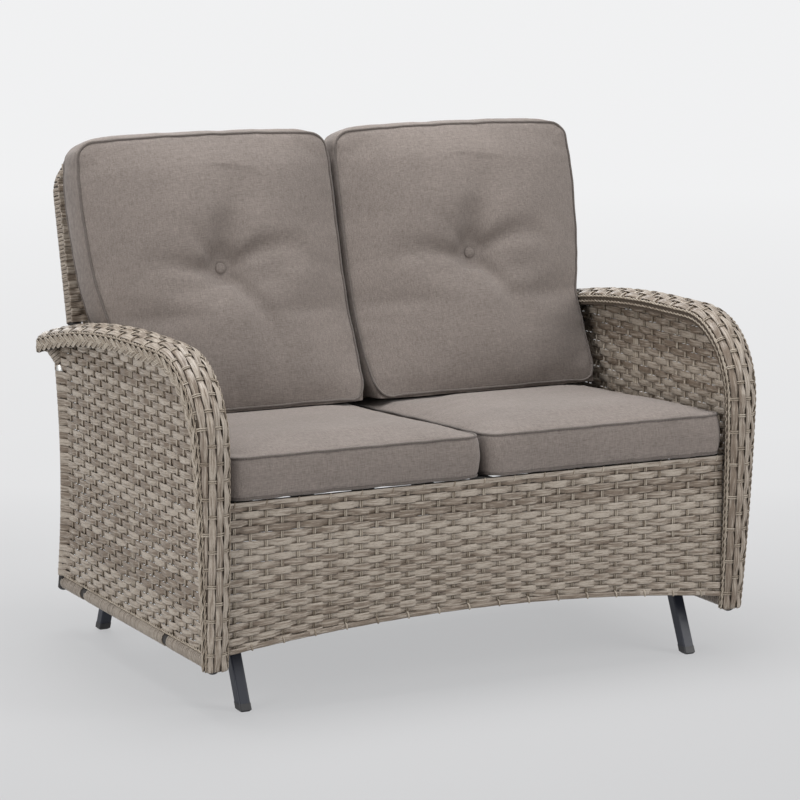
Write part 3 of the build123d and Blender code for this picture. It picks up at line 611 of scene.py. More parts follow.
def woven(name: str, finish: Finish, layers: Sequence[Callable[[StrandBox], None]],
          replaces: Sequence[str] = ()) -> None:
    """Make one piece of strands that rides on the seat.

    Args:
        name: The piece's name.
        finish: Its finish.
        layers: What lays its strands, in order.
        replaces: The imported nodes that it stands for.
    """
    box = StrandBox(name)
    for lay in layers:
        lay(box)
    settle(box.piece(), Body.SEAT.value, finish, replaces)


@dataclass(frozen=True)
class Twist:
    """Two thin strands twisted round each other."""

    spread: float
    period: float
    width: float

    def lay(self, box: StrandBox, line: np.ndarray, normals: np.ndarray) -> None:
        """Lay the pair along a line.

        Args:
            box: The piece that gets the strands.
            line: The pair's centre line.
            normals: The outward direction at each of its points.
        """
        across = unit(np.cross(normals, unit(np.gradient(line, axis=0))))
        run = run_along(line)
        for start in (0.0, math.pi):
            turn = (2 * math.pi * run / self.period + start)[:, None]
            offset = across * np.cos(turn) + normals * np.sin(turn)
            box.lay(line + offset * self.spread, normals, self.width, self.width, 1.0)


@dataclass(frozen=True)
class Coil:
    """A flat strand wound round a tube, at a radius from its line, with rings in each turn."""

    radius: float
    pitch: float
    width: float
    thickness: float
    steps: int = 12
    wobble: float = 0.00015
    wobble_turn: float = 2.39

    def wind(self, box: StrandBox, line: np.ndarray, reference: np.ndarray) -> None:
        """Wind the strand.

        Args:
            box: The piece that gets the strand.
            line: The tube's centre line.
            reference: A direction that is never along the line.
        """
        fine, run = resample(line, self.pitch / self.steps)
        ahead = unit(np.gradient(fine, axis=0))
        first = unit(np.cross(ahead, reference))
        second = np.cross(ahead, first)
        turn = (2 * math.pi * run / self.pitch)[:, None]
        outward = first * np.cos(turn) + second * np.sin(turn)
        reach = self.radius + self.wobble * np.sin(run / self.pitch * self.wobble_turn)[:, None]
        box.lay(fine + outward * reach, outward, self.width, self.thickness)


@dataclass(frozen=True)
class Weave:
    """Sizes of the plain weave: flat strands over and under pairs of thin ones."""

    row_pitch: float = 0.0130
    post_pitch: float = 0.0306
    strand_width: float = 0.0141
    strand_thickness: float = 0.0017
    swing: float = 0.0023
    plunge: float = 2.5
    pair_gap: float = 0.0031
    pair_width: float = 0.0028
    pair_flatness: float = 0.8
    jitter: float = 0.00035
    steps: int = 10

    def out(self, run: np.ndarray, first_phase: float, row: int) -> np.ndarray:
        """How far a row's strand stands out along its run."""
        wave = np.cos(math.pi * (run - first_phase) / self.post_pitch + math.pi * row)
        return self.swing * np.tanh(self.plunge * wave) / math.tanh(self.plunge)

    def drift(self, run: np.ndarray, row: int) -> np.ndarray:
        """How far a row's strand strays up and down along its run."""
        return self.jitter * np.sin(run * 23.0 + row * 1.7)


@dataclass(frozen=True)
class WovenSheet:
    """A flat woven wall, drawn in its own run and height and set in space."""

    origin: np.ndarray
    run_dir: np.ndarray
    height_dir: np.ndarray
    outward: np.ndarray
    heights: tuple[float, float]
    row_limits: Callable[[float], tuple[float, float]]
    post_limits: Callable[[float], tuple[float, float]]
    run_span: tuple[float, float]
    weave: Weave = field(default_factory=Weave)
    first_phase: float = 0.0
    thick_posts: tuple[float, ...] = ()
    row_end: Callable[[float], np.ndarray] | None = None

    def place(self, run: np.ndarray, height: np.ndarray, out: np.ndarray) -> np.ndarray:
        """Points of the sheet in space."""
        return (self.origin + np.outer(run, self.run_dir) + np.outer(height, self.height_dir)
                + np.outer(out, self.outward))

    def lay_rows(self, box: StrandBox) -> None:
        """Lay the flat strands from the top row down.

        Args:
            box: The piece that gets them.
        """
        weave = self.weave
        low, high = self.heights
        count = round((high - low) / weave.row_pitch)
        for row in range(count):
            level = high - (row + 0.5) * (high - low) / count
            start, end = self.row_limits(level)
            if end - start < 2 * weave.strand_width:
                continue
            run = np.linspace(start, end, int((end - start) / (weave.post_pitch / weave.steps)) + 2)
            out = weave.out(run, self.first_phase, row)
            lean = np.full(len(run), math.pi / 2)
            if self.row_end:
                run, out, lean = np.concatenate([(run, out, lean), self.row_end(level)], axis=1)
            points = self.place(run, level + weave.drift(run, row), out)
            normals = np.outer(np.sin(lean), self.outward) + np.outer(np.cos(lean), self.run_dir)
            box.lay(points, normals, weave.strand_width, weave.strand_thickness)

    def lay_posts(self, box: StrandBox) -> None:
        """Lay the upright pairs of thin strands.

        Args:
            box: The piece that gets them.
        """
        weave = self.weave
        first, last = self.run_span
        index = math.ceil((first - self.first_phase) / weave.post_pitch)
        places = []
        while self.first_phase + index * weave.post_pitch < last:
            places.append(self.first_phase + index * weave.post_pitch)
            index += 1
        for run in (*places, *self.thick_posts):
            low, high = self.post_limits(run)
            if high - low < weave.row_pitch:
                continue
            for offset in (-weave.pair_gap / 2, weave.pair_gap / 2):
                height = np.linspace(low, high, 3)
                points = self.place(np.full(3, run + offset), height, np.zeros(3))
                normals = np.broadcast_to(self.outward, points.shape)
                box.lay(points, normals, weave.pair_width, weave.pair_width * weave.pair_flatness,
                        weave.pair_flatness)


# The arm's side line


@dataclass(frozen=True)
class ArmLine:
    """The arm's crown line and its section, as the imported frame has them."""

    front_y: float = -0.4025
    top_z: float = 0.646
    foot_z: float = 0.088
    nose_radius: float = 0.170
    shin_radius: float = 3.700
    flat_end_y: float = -0.130
    fall_radius: float = 2.050
    fall_turn: float = math.radians(13.0)
    tail: float = 0.042
    inner_x: float = 0.505
    widths: tuple[float, float, float] = (0.041, 0.057, 0.070)
    inner_depths: tuple[float, float] = (0.016, 0.028)
    outer_depths: tuple[float, float] = (0.017, 0.038)
    inner_shoulder: float = 0.46
    outer_shoulder: float = 0.38

    @property
    def nose_z(self) -> float:
        """Height at which the nose starts."""
        return self.top_z - self.nose_radius

    def shin_y(self, z: float | np.ndarray, depth: float = 0.0) -> float | np.ndarray:
        """Y of the shin at a height, sunk by a depth."""
        radius = self.shin_radius - depth
        return self.front_y + self.shin_radius - np.sqrt(radius ** 2 - (self.nose_z - z) ** 2)

    def side_points(self, depth: float) -> np.ndarray:
        """The whole side line, from the foot to the tail.

        Args:
            depth: How far it is sunk.

        Returns:
            Y and Z of its points.
        """
        shin_z = np.linspace(self.foot_z, self.nose_z, 60)
        turn = np.linspace(math.pi, math.pi / 2, 40)[1:]
        reach = self.nose_radius - depth
        nose_y = self.front_y + self.nose_radius + reach * np.cos(turn)
        nose_z = self.nose_z + reach * np.sin(turn)
        turn = np.linspace(0.0, self.fall_turn, 60)
        reach = self.fall_radius - depth
        fall_y = self.flat_end_y + reach * np.sin(turn)
        fall_z = self.top_z - self.fall_radius + reach * np.cos(turn)
        tail_y = fall_y[-1] + self.tail * math.cos(self.fall_turn)
        tail_z = fall_z[-1] - self.tail * math.sin(self.fall_turn)
        return np.stack([np.concatenate([self.shin_y(shin_z, depth), nose_y, fall_y, [tail_y]]),
                         np.concatenate([shin_z, nose_z, fall_z, [tail_z]])], axis=1)

    def top_at(self, y: float, depth: float) -> float:
        """Find the sunk side line's height behind the nose's front.

        Args:
            y: Where to look.
            depth: How far the line is sunk.

        Returns:
            The height.
        """
        line = self.side_points(depth)
        upper = line[line[:, 1] > self.nose_z]
        return float(np.interp(y, upper[:, 0], upper[:, 1]))

    def front_at(self, z: float, depth: float) -> float:
        """Find the front of the sunk side line.

        Args:
            z: The height to look at.
            depth: How far the line is sunk.

        Returns:
            Its Y.
        """
        line = self.side_points(depth)
        front = line[line[:, 0] < self.front_y + self.nose_radius]
        return float(np.interp(z, front[:, 1], front[:, 0]))

    def rear_at(self, z: float, depth: float) -> float:
        """Find where the sunk fall comes down to a height.

        Args:
            z: The height.
            depth: How far the line is sunk.

        Returns:
            Its Y.
        """
        line = self.side_points(depth)
        fall = line[line[:, 0] > self.flat_end_y]
        return float(np.interp(-z, -fall[:, 1], fall[:, 0]))


@dataclass
class ArmRun:
    """The crown line sampled at even steps, with the section's sizes at each."""

    line: ArmLine
    side: Side
    spacing: float = 0.0052

    def __post_init__(self) -> None:
        """Sample the line."""
        yz = self.line.side_points(0.0)
        points = np.concatenate([np.zeros((len(yz), 1)), yz], axis=1)
        self.crown, self.run = resample(points, self.spacing)
        self.ahead = unit(np.gradient(self.crown, axis=0))
        self.up = np.stack([self.ahead[:, 0], -self.ahead[:, 2], self.ahead[:, 1]], axis=1)
        nose_start = self.run[np.argmax(self.crown[:, 2] >= self.line.nose_z - 1e-6)]
        nose_end = nose_start + self.line.nose_radius * math.pi / 2
        shin = np.clip(self.run / nose_start, 0, 1)
        nose = np.clip((self.run - nose_start) / (nose_end - nose_start), 0, 1)
        foot, mid, top = self.line.widths
        self.width = foot + (mid - foot) * shin + (top - mid) * nose
        share = 0.8 * shin + 0.2 * nose
        low, high = self.line.inner_depths
        self.inner_depth = low + (high - low) * share
        low, high = self.line.outer_depths
        self.outer_depth = low + (high - low) * share

    def over(self, across: np.ndarray, lift: np.ndarray,
             part: slice = slice(None)) -> tuple[np.ndarray, np.ndarray]:
        """Points and outward directions on the crowned top.

        Args:
            across: Distance from the inner edge at each sample.
            lift: Distance above the skin at each sample.
            part: The samples to use.

        Returns:
            The points and the outward directions.
        """
        width = self.width[part]
        inner = self.inner_depth[part] * self.line.inner_shoulder
        outer = self.outer_depth[part] * self.line.outer_shoulder
        curve = 2 * (inner + outer) / width ** 2
        slope = -(3 * inner + outer) / width
        depth = curve * across ** 2 + slope * across + inner
        grade = 2 * curve * across + slope
        size = np.sqrt(1 + grade ** 2)
        sideways, upward = grade / size, 1 / size
        x = self.side.value * (self.line.inner_x + across + lift * sideways)
        points = self.crown[part] + self.up[part] * (lift * upward - depth)[:, None]
        points[:, 0] = x
        outward = self.up[part] * upward[:, None]
        outward[:, 0] = self.side.value * sideways
        return points, outward

    def flank(self, share: float, lift: float, outer: bool) -> tuple[np.ndarray, np.ndarray]:
        """Points and outward directions down one of the two turned edges.

        Args:
            share: From 0 at the shoulder to 1 at the edge.
            lift: Distance out from the skin.
            outer: Whether this is the outer edge.

        Returns:
            The points and the outward directions.
        """
        deep = self.outer_depth if outer else self.inner_depth
        shoulder = self.line.outer_shoulder if outer else self.line.inner_shoulder
        depth = deep * (shoulder + (1 - shoulder) * share)
        points = self.crown - self.up * depth[:, None]
        reach = self.width + lift if outer else np.full(len(depth), -lift)
        points[:, 0] = self.side.value * (self.line.inner_x + reach)
        outward = np.zeros_like(points)
        outward[:, 0] = self.side.value * (1.0 if outer else -1.0)
        return points, outward


@dataclass
class WovenArm:
    """The woven cover of one arm: lengthwise strands, cross ties, plait and twists."""

    side: Side
    line: ArmLine = field(default_factory=ArmLine)
    edge: float = 0.0028
    outer_edge: float = 0.0026
    strand_pitch: float = 0.0129
    strand_fill: float = 1.02
    fill_swing: float = 0.06
    least_width: float = 0.0030
    plunge: float = 1.6
    strand_thickness: float = 0.0018
    strand_lift: float = 0.0012
    swing: float = 0.0016
    end_drops: tuple[int, ...] = (2, 0, 0, 1, 3)
    tie_pitch: float = 0.031
    tie_gap: float = 0.0036
    tie_inset: float = 0.0005
    tie_points: int = 22
    tie_lift: float = 0.0013
    tie_swing: float = 0.0009
    tie_width: float = 0.0029
    tie_thickness: float = 0.0018
    plait_period: float = 0.078
    plait_spacing: float = 0.0045
    plait_strand: float = 0.0029
    plait_thickness: float = 0.0019
    plait_margin: float = 0.0036
    plait_sway: float = 0.0012
    plait_lift: float = 0.0010
    plait_room: float = 0.0118
    twist: Twist = Twist(0.0014, 0.026, 0.0027)
    twist_stop: int = 4
    corner_radius: float = 0.020
    corner_cuts: int = 3

    def __post_init__(self) -> None:
        """Sample the arm's line."""
        self.run = ArmRun(self.line, self.side)

    def lay_lengths(self, box: StrandBox) -> None:
        """Lay the flat strands that follow the arm, more of them where it is wider.

        Args:
            box: The piece that gets them.
        """
        run = self.run
        for index, drop in enumerate(self.end_drops):
            low = self.edge + index * self.strand_pitch
            high = np.minimum(low + self.strand_pitch, run.width - self.outer_edge)
            fits = high - low > self.least_width
            part = slice(int(np.argmax(fits)), len(fits) - drop)
            phase = math.pi * (run.run[part] / self.tie_pitch + index)
            rise = np.tanh(self.plunge * np.cos(phase)) / math.tanh(self.plunge)
            lift = self.strand_lift + self.swing * rise
            points, outward = run.over((low + high[part]) / 2, lift, part)
            width = (high[part] - low) * (self.strand_fill + self.fill_swing * rise)
            box.lay(points, outward, width, self.strand_thickness)

    def lay_ties(self, box: StrandBox) -> None:
        """Lay the pairs of thin strands that cross the arm.

        Args:
            box: The piece that gets them.
        """
        run, half = self.run, self.tie_gap / 2
        for tie in range(1, int(run.run[-1] / self.tie_pitch)):
            for place in (tie * self.tie_pitch - half, tie * self.tie_pitch + half):
                index = int(np.clip(np.searchsorted(run.run, place), 1, len(run.run) - 1))
                share = (place - run.run[index - 1]) / (run.run[index] - run.run[index - 1])
                across = np.linspace(self.tie_inset, run.width[index] - self.tie_inset,
                                     self.tie_points)
                column = (across - self.edge) / self.strand_pitch - 0.5
                lift = self.tie_lift + self.tie_swing * np.cos(math.pi * (column + tie + 1))
                pair = slice(index - 1, index + 1)
                spots = [run.over(np.full(2, step), np.full(2, height), pair)
                         for step, height in zip(across, lift)]
                points = np.array([ends[0] + (ends[1] - ends[0]) * share for ends, _ in spots])
                normals = np.array([outward[0] for _, outward in spots])
                box.lay(points, normals, self.tie_width, self.tie_thickness, 0.8)

    def plait_line(self) -> np.ndarray:
        """The plait's centre line down the outer edge and round the rear corner.

        Returns:
            Rows of point, outward direction, direction down the flank, and half height.
        """
        run = self.run
        points, outward = run.flank(0.5, 0.0012, True)
        room = run.outer_depth * (1 - self.line.outer_shoulder) / 2
        stop = run.run <= run.run[-1] - self.corner_radius
        rows = np.concatenate([points, outward, -run.up, room[:, None]], axis=1)[stop]
        last, ahead = rows[-1], run.ahead[-1]
        centre = last[:3] - last[3:6] * self.corner_radius
        corner = []
        for turn in np.linspace(0, math.pi / 2, 7)[1:]:
            out = last[3:6] * math.cos(turn) + ahead * math.sin(turn)
            corner.append(np.concatenate([centre + out * self.corner_radius, out, last[6:]]))
        far = corner[-1].copy()
        far[:3] -= last[3:6] * (self.line.widths[2] - 2 * self.corner_radius)
        return np.concatenate([rows, np.array(corner), far[None]])

    def lay_plait(self, box: StrandBox) -> None:
        """Lay the three-part plait down the outer edge and round the rear end.

        Args:
            box: The piece that gets it.
        """
        rows, along = resample(self.plait_line(), self.plait_spacing)
        centre, outward, down, room = rows[:, :3], unit(rows[:, 3:6]), rows[:, 6:9], rows[:, 9]
        reach = np.maximum(room - self.plait_margin, self.plait_sway)
        squeeze = np.clip(room / self.plait_room, 0.5, 1.0)
        for part in range(3):
            turn = 2 * math.pi * (along / self.plait_period + part / 3)
            path = centre + down * (reach * np.sin(turn))[:, None]
            path = path + outward * (self.plait_sway * np.sin(2 * turn) + self.plait_lift)[:, None]
            across = unit(np.cross(outward, unit(np.gradient(path, axis=0))))
            for lane in (-1, 0, 1):
                shift = across * (lane * self.plait_strand * squeeze)[:, None]
                box.lay(path + shift, outward, self.plait_strand * squeeze, self.plait_thickness,
                        0.75)

    def lay_twists(self, box: StrandBox) -> None:
        """Lay the thin twisted pairs along the two shoulders and the inner edge.

        Args:
            box: The piece that gets them.
        """
        run, level = self.run, np.ones(len(self.run.run))
        for points, outward in (run.over(level * 0.0010, level * 0.0012),
                                run.over(run.width - 0.0012, level * 0.0014),
                                run.flank(0.55, -0.0008, False)):
            self.twist.lay(box, points[:-self.twist_stop], outward[:-self.twist_stop])

    def lay_skin(self) -> None:
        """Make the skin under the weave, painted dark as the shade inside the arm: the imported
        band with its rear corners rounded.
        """
        run, name = self.run, f"arm_band_{self.side.word}"
        work = opened(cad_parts[name].data, merge=True)
        end, ahead = run.crown[-1], run.ahead[-1]
        for x, sign in ((self.line.inner_x, -1.0), (self.line.inner_x + run.width[-1], 1.0)):
            outward = np.array([self.side.value * sign, 0.0, 0.0])
            corner = np.array([self.side.value * x, end[1], end[2]])
            centre = corner - (outward + ahead) * self.corner_radius
            for turn in np.linspace(0.0, math.pi / 2, self.corner_cuts + 2)[1:-1]:
                normal = outward * math.cos(turn) + ahead * math.sin(turn)
                parts = [*work.verts, *work.edges, *work.faces]
                cut = bmesh.ops.bisect_plane(work, geom=parts, plane_no=normal, clear_outer=True,
                                             plane_co=centre + normal * self.corner_radius)
                edges = [part for part in cut["geom_cut"] if isinstance(part, bmesh.types.BMEdge)]
                bmesh.ops.holes_fill(work, edges=edges, sides=0)
        skin = f"arm_skin_{self.side.word}"
        settle(linked(skin, closed(work, skin)), Body.SEAT.value, SHADE_SKIN, [name])

    def build(self) -> None:
        """Make the arm's woven pieces."""
        self.lay_skin()
        word = self.side.word
        woven(f"arm_weave_{word}", FLAT_STRAND, [self.lay_lengths])
        woven(f"arm_plait_{word}", THIN_STRAND, [self.lay_ties, self.lay_plait, self.lay_twists])


# Walls, apron and back


@dataclass
class SideWall:
    """The woven wall of one side frame, with its foot rail and strut wraps."""

    side: Side
    line: ArmLine = field(default_factory=ArmLine)
    middle_x: float = 0.5312
    tube_x: float = 0.528
    post_depth: float = 0.017
    tube_radius: float = 0.011
    rail_z: float = 0.0985
    wall_foot_z: float = 0.1125
    rear_radius: float = 0.972
    rear_waist: tuple[float, float] = (0.3285, 0.325)
    rear_top_z: float = 0.528
    pivots: tuple[float, float] = (-0.175, 0.228)
    wrap_gap: float = 0.017
    border: Twist = Twist(0.0016, 0.024, 0.0030)
    rail_coil: Coil = Coil(0.0120, 0.0070, 0.0063, 0.0030)
    strut_coil: Coil = Coil(0.0120, 0.0075, 0.0072, 0.0015)
    rail_inset: float = 0.0125
    wrap_inset: float = 0.002
    strut_shift: float = 0.018
    rear_end_y: float = 0.352
    post_lap: float = 0.004
    post_skin: float = 0.0016

    def rear_y(self, z: float | np.ndarray) -> float | np.ndarray:
        """Y of the bowed rear post at a height."""
        y, waist = self.rear_waist
        return y + self.rear_radius - np.sqrt(self.rear_radius ** 2 - (z - waist) ** 2)

    def row_limits(self, z: float) -> tuple[float, float]:
        """Find where a row starts and ends.

        Args:
            z: Its height.

        Returns:
            The two Y.
        """
        start = self.line.front_at(z, self.post_depth) + self.tube_radius * 0.6
        if z > self.rear_top_z:
            return start, min(self.line.rear_at(z, self.post_depth), self.rear_end_y)
        return start, float(self.rear_y(z)) - self.tube_radius * 1.4

    def row_end(self, z: float) -> np.ndarray:
        """The stretch of a row that turns round the rear post.

        Args:
            z: The row's height.

        Returns:
            Run, distance out of the wall, and lean of the outward direction.
        """
        if z > self.rear_top_z:
            return np.empty((3, 0))
        lean = np.linspace(0.55 * math.pi, -0.62 * math.pi, 13)
        reach = self.tube_radius + self.post_skin
        out = reach * np.sin(lean) - (self.middle_x - self.tube_x)
        return np.stack([float(self.rear_y(z)) + reach * np.cos(lean), out, lean])

    def post_limits(self, y: float) -> tuple[float, float]:
        """Where an upright at a Y starts and ends."""
        return (self.wall_foot_z - self.post_lap,
                self.line.top_at(y, self.post_depth + self.post_lap))

    def lay_wall(self) -> None:
        """Make the wall's weave."""
        sheet = WovenSheet(
            origin=np.array([self.side.value * self.middle_x, 0.0, 0.0]), run_dir=REARWARD,
            height_dir=UPRIGHT, outward=np.array([self.side.value, 0.0, 0.0]),
            heights=(self.wall_foot_z, self.line.top_z - self.post_depth),
            row_limits=self.row_limits, post_limits=self.post_limits,
            run_span=(self.line.front_y + 0.035, 0.322), first_phase=-0.0105,
            thick_posts=(-0.0165, -0.0045), row_end=self.row_end)
        word = self.side.word
        woven(f"side_weave_{word}", FLAT_STRAND, [sheet.lay_rows], [f"side_panel_{word}"])
        woven(f"side_posts_{word}", THIN_STRAND, [sheet.lay_posts, self.lay_border])

    def lay_border(self, box: StrandBox) -> None:
        """Lay the twisted border over the foot rail.

        Args:
            box: The piece that gets it.
        """
        x, z = self.side.value * (self.middle_x + 0.0022), self.wall_foot_z + 0.001
        start = self.line.front_at(self.wall_foot_z, self.post_depth) + 0.012
        end = self.rear_y(self.wall_foot_z) - 0.010
        foot, _ = resample(np.array([[x, start, z], [x, end, z]]), 0.004)
        outward = np.zeros_like(foot)
        outward[:, 0] = self.side.value
        self.border.lay(box, foot, outward)

    def lay_wraps(self, box: StrandBox) -> None:
        """Wind the strand on the foot rail, in three stretches, and on the strut.

        Args:
            box: The piece that gets it.
        """
        half = self.wrap_gap / 2
        front, rear = self.pivots
        first = self.line.front_at(self.rail_z, self.post_depth) + self.rail_inset
        last = self.rear_y(self.rail_z) - self.rail_inset
        x = self.side.value * self.tube_x
        for low, high in ((first, front - half), (front + half, rear - half), (rear + half, last)):
            line = np.array([[x, low + self.wrap_inset, self.rail_z],
                             [x, high - self.wrap_inset, self.rail_z]])
            self.rail_coil.wind(box, line, UPRIGHT)
        _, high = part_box(f"arm_strut_{self.side.word}")
        foot = Vector((x, self.rear_y(self.rear_top_z), self.rear_top_z + 0.001))
        head = Vector((self.side.value * (self.tube_x + self.strut_shift),
                       high.y - self.tube_radius, high.z))
        self.strut_coil.wind(box, np.array([foot, head]), ACROSS)


@dataclass
class Apron:
    """The woven front apron with its borders."""

    weave: Weave = field(default_factory=Weave)
    middle_y: float = -0.3755
    half: float = 0.5035
    top_z: float = 0.379
    end_z: float = 0.115
    middle_z: float = 0.148
    bend: float = 1.5
    least_room: float = 0.40
    border_points: int = 150
    ripple: float = 0.0007
    top_border: tuple[float, float] = (0.0094, 0.0021)
    edge_border: tuple[float, float] = (0.0098, 0.0020)
    edge_lift: float = 0.0035
    loop_depth: float = 0.0042
    loop_lean: float = 0.0012
    loop_reaches: tuple[float, float] = (0.0062, 0.0052)
    loop_section: tuple[float, float] = (0.0034, 0.0015)

    def arch(self, x: float | np.ndarray) -> float | np.ndarray:
        """Height of the arched lower edge.

        Args:
            x: Where along the apron.

        Returns:
            The height there.
        """
        rise = self.middle_z - self.end_z
        radius = (self.half ** 2 + rise ** 2) / (2 * rise)
        return self.middle_z - radius + np.sqrt(radius ** 2 - np.square(x))

    def post_limits(self, x: float) -> tuple[float, float]:
        """Where an upright at an X starts and ends."""
        return self.arch(x) + 0.002, self.top_z - 0.002

    def lay_rows(self, box: StrandBox) -> None:
        """Lay rows that run level at the top and take up the arch towards the foot.

        Args:
            box: The piece that gets them.
        """
        weave = self.weave
        count = int((self.top_z - self.end_z) / weave.row_pitch)
        run = np.arange(-self.half, self.half + 1e-6, weave.post_pitch / weave.steps)
        arch = self.arch(run)
        for row in range(count):
            level = self.top_z - (row + 0.5) * (self.top_z - self.end_z) / count
            share = (self.top_z - level) / (self.top_z - self.end_z)
            bend = share ** self.bend
            height = (1 - bend) * level + bend * (self.top_z - share * (self.top_z - arch))
            points = np.stack([run, self.middle_y - weave.out(run, 0.0, row),
                               height + weave.drift(run, row)], axis=1)
            for part in self.stretches(height > arch + weave.row_pitch * self.least_room):
                normals = np.broadcast_to(FORWARD, points[part].shape)
                box.lay(points[part], normals, weave.strand_width, weave.strand_thickness)

    @staticmethod
    def stretches(keep: np.ndarray) -> list[slice]:
        """Find the unbroken stretches of samples to keep, at least a few samples long.

        Args:
            keep: Which samples are kept.

        Returns:
            The stretches.
        """
        edges = np.flatnonzero(np.diff(np.concatenate([[0], keep.astype(int), [0]])))
        pairs = zip(edges[::2], edges[1::2])
        return [slice(int(low), int(high)) for low, high in pairs if high - low > 6]

    def lay_borders(self, box: StrandBox) -> None:
        """Lay one strand along the top and one on each side of the arched edge.

        Args:
            box: The piece that gets them.
        """
        run = np.linspace(-self.half, self.half, self.border_points)
        ripple = self.ripple * np.cos(math.pi * run / self.weave.post_pitch)
        top, edge = np.full(len(run), self.top_z - 0.0006), self.arch(run) + self.edge_lift
        for out, height, section in ((0.0018, top, self.top_border),
                                     (0.0022, edge, self.edge_border),
                                     (-0.0022, edge, self.edge_border)):
            points = np.stack([run, self.middle_y - out - ripple, height], axis=1)
            box.lay(points, np.broadcast_to(FORWARD * np.sign(out), points.shape), *section)

    def lay_loops(self, box: StrandBox) -> None:
        """Turn the uprights by turns round the arched edge and the top in a small loop.

        Args:
            box: The piece that gets them.
        """
        low_reach, high_reach = self.loop_reaches
        count = int(self.half / self.weave.post_pitch)
        turn = np.linspace(-0.6 * math.pi, 0.6 * math.pi, 9)
        for index in range(-count, count + 1):
            x = index * self.weave.post_pitch
            middle_z, reach = self.top_z - 0.001, high_reach
            if index % 2:
                middle_z, reach = self.arch(x) + self.edge_lift, -low_reach
            points = np.stack([x + self.loop_lean * turn,
                               self.middle_y - self.loop_depth * np.cos(turn * 0.8),
                               middle_z + reach * np.sin(turn)], axis=1)
            normals = np.stack([np.zeros(9), -np.cos(turn * 0.8),
                                math.copysign(1.0, reach) * np.sin(turn)], axis=1)
            box.lay(points, unit(normals), *self.loop_section, 0.8)

    def build(self) -> None:
        """Make the apron's weave, uprights and borders."""
        sheet = WovenSheet(
            origin=np.array([0.0, self.middle_y, 0.0]), run_dir=ACROSS, height_dir=UPRIGHT,
            outward=FORWARD, heights=(self.end_z, self.top_z),
            row_limits=lambda z: (-self.half, self.half), post_limits=self.post_limits,
            run_span=(-self.half, self.half))
        woven("apron_weave", FLAT_STRAND, [self.lay_rows, self.lay_borders], ["front_apron"])
        woven("apron_posts", THIN_STRAND, [sheet.lay_posts, self.lay_loops])


@dataclass
class WovenBack:
    """The reclined woven back and the strand wound on its frame."""

    rail: tuple[float, float] = (0.3875, 0.905)
    panel_lift: float = 0.0178
    half_low: float = 0.5040
    half_high: float = 0.5255
    step_z: float = 0.607
    low_z: float = 0.352
    post_x: float = 0.514
    corner_radius: float = 0.062
    corner_lap: float = 0.012
    weave: Weave = Weave(swing=0.0020)
    coil: Coil = Coil(0.0140, 0.0078, 0.0074, 0.0017, 14)

    def height(self, z: float) -> float:
        """Distance up the recline, from the rail, of a height."""
        return (z - self.rail[1]) / math.cos(RECLINE)

    def row_limits(self, height: float) -> tuple[float, float]:
        """Find where a row starts and ends.

        Args:
            height: The row's height up the recline.

        Returns:
            Its two ends.
        """
        if height < self.height(self.step_z):
            return -self.half_low, self.half_low
        corner = max(height + self.corner_radius - self.corner_lap, 0.0)
        inset = self.corner_radius - math.sqrt(max(self.corner_radius ** 2 - corner ** 2, 0.0))
        return -self.half_high + inset, self.half_high - inset

    def post_limits(self, x: float) -> tuple[float, float]:
        """Where an upright starts and ends, the same at each X."""
        return self.height(self.low_z), 0.004

    def loop(self) -> np.ndarray:
        """The centre line of the back frame above the arms.

        Returns:
            Its points.
        """
        spots = [(-self.post_x, self.height(self.step_z)), (-self.post_x, -self.corner_radius)]
        for turn in np.linspace(math.pi, math.pi / 2, 10)[1:]:
            spots.append((-self.post_x + self.corner_radius * (1 + math.cos(turn)),
                          self.corner_radius * (math.sin(turn) - 1)))
        spots += [(-x, height) for x, height in reversed(spots)]
        top = np.array([0.0, *self.rail])
        return np.array([top + BACK_UP * height + ACROSS * x for x, height in spots])

    def build(self) -> None:
        """Make the back's weave, its uprights and the wound strand."""
        sheet = WovenSheet(
            origin=np.array([0.0, *self.rail]) + BACK_AHEAD * self.panel_lift, run_dir=ACROSS,
            height_dir=BACK_UP, outward=-BACK_AHEAD, heights=(self.height(self.low_z), 0.008),
            row_limits=self.row_limits, post_limits=self.post_limits,
            run_span=(-self.half_low + 0.01, self.half_low - 0.01), weave=self.weave)
        woven("back_weave", FLAT_STRAND, [sheet.lay_rows], ["back_panel"])
        woven("back_posts", THIN_STRAND, [sheet.lay_posts])
        woven("back_coil", WRAP_STRAND,
              [lambda box: self.coil.wind(box, self.loop(), BACK_AHEAD)], ["back_wrap"])


# Cushions


CLOTH = {
    "quality": 5, "mass": 0.3, "tension_stiffness": 12.0, "compression_stiffness": 12.0,
    "shear_stiffness": 6.0, "bending_stiffness": 1.5, "vertex_group_mass": "held",
    "use_pressure": True, "uniform_pressure_force": 4.0, "shrink_min": -0.01,
}


def smooth_noise(values: np.ndarray, seed: int) -> np.ndarray:
    """A smooth, repeatable wave of mixed lengths along a run.

    Args:
        values: The places along the run.
        seed: What the wave's phases are drawn from.

    Returns:
        The wave, about -1 to 1.
    """
    draw = np.random.default_rng(seed)
    total = np.zeros_like(values)
    for size in (0.9, 1.7, 2.9, 4.6):
        total += np.sin(values * size + draw.uniform(0, 2 * math.pi)) / size
    return total / 1.6


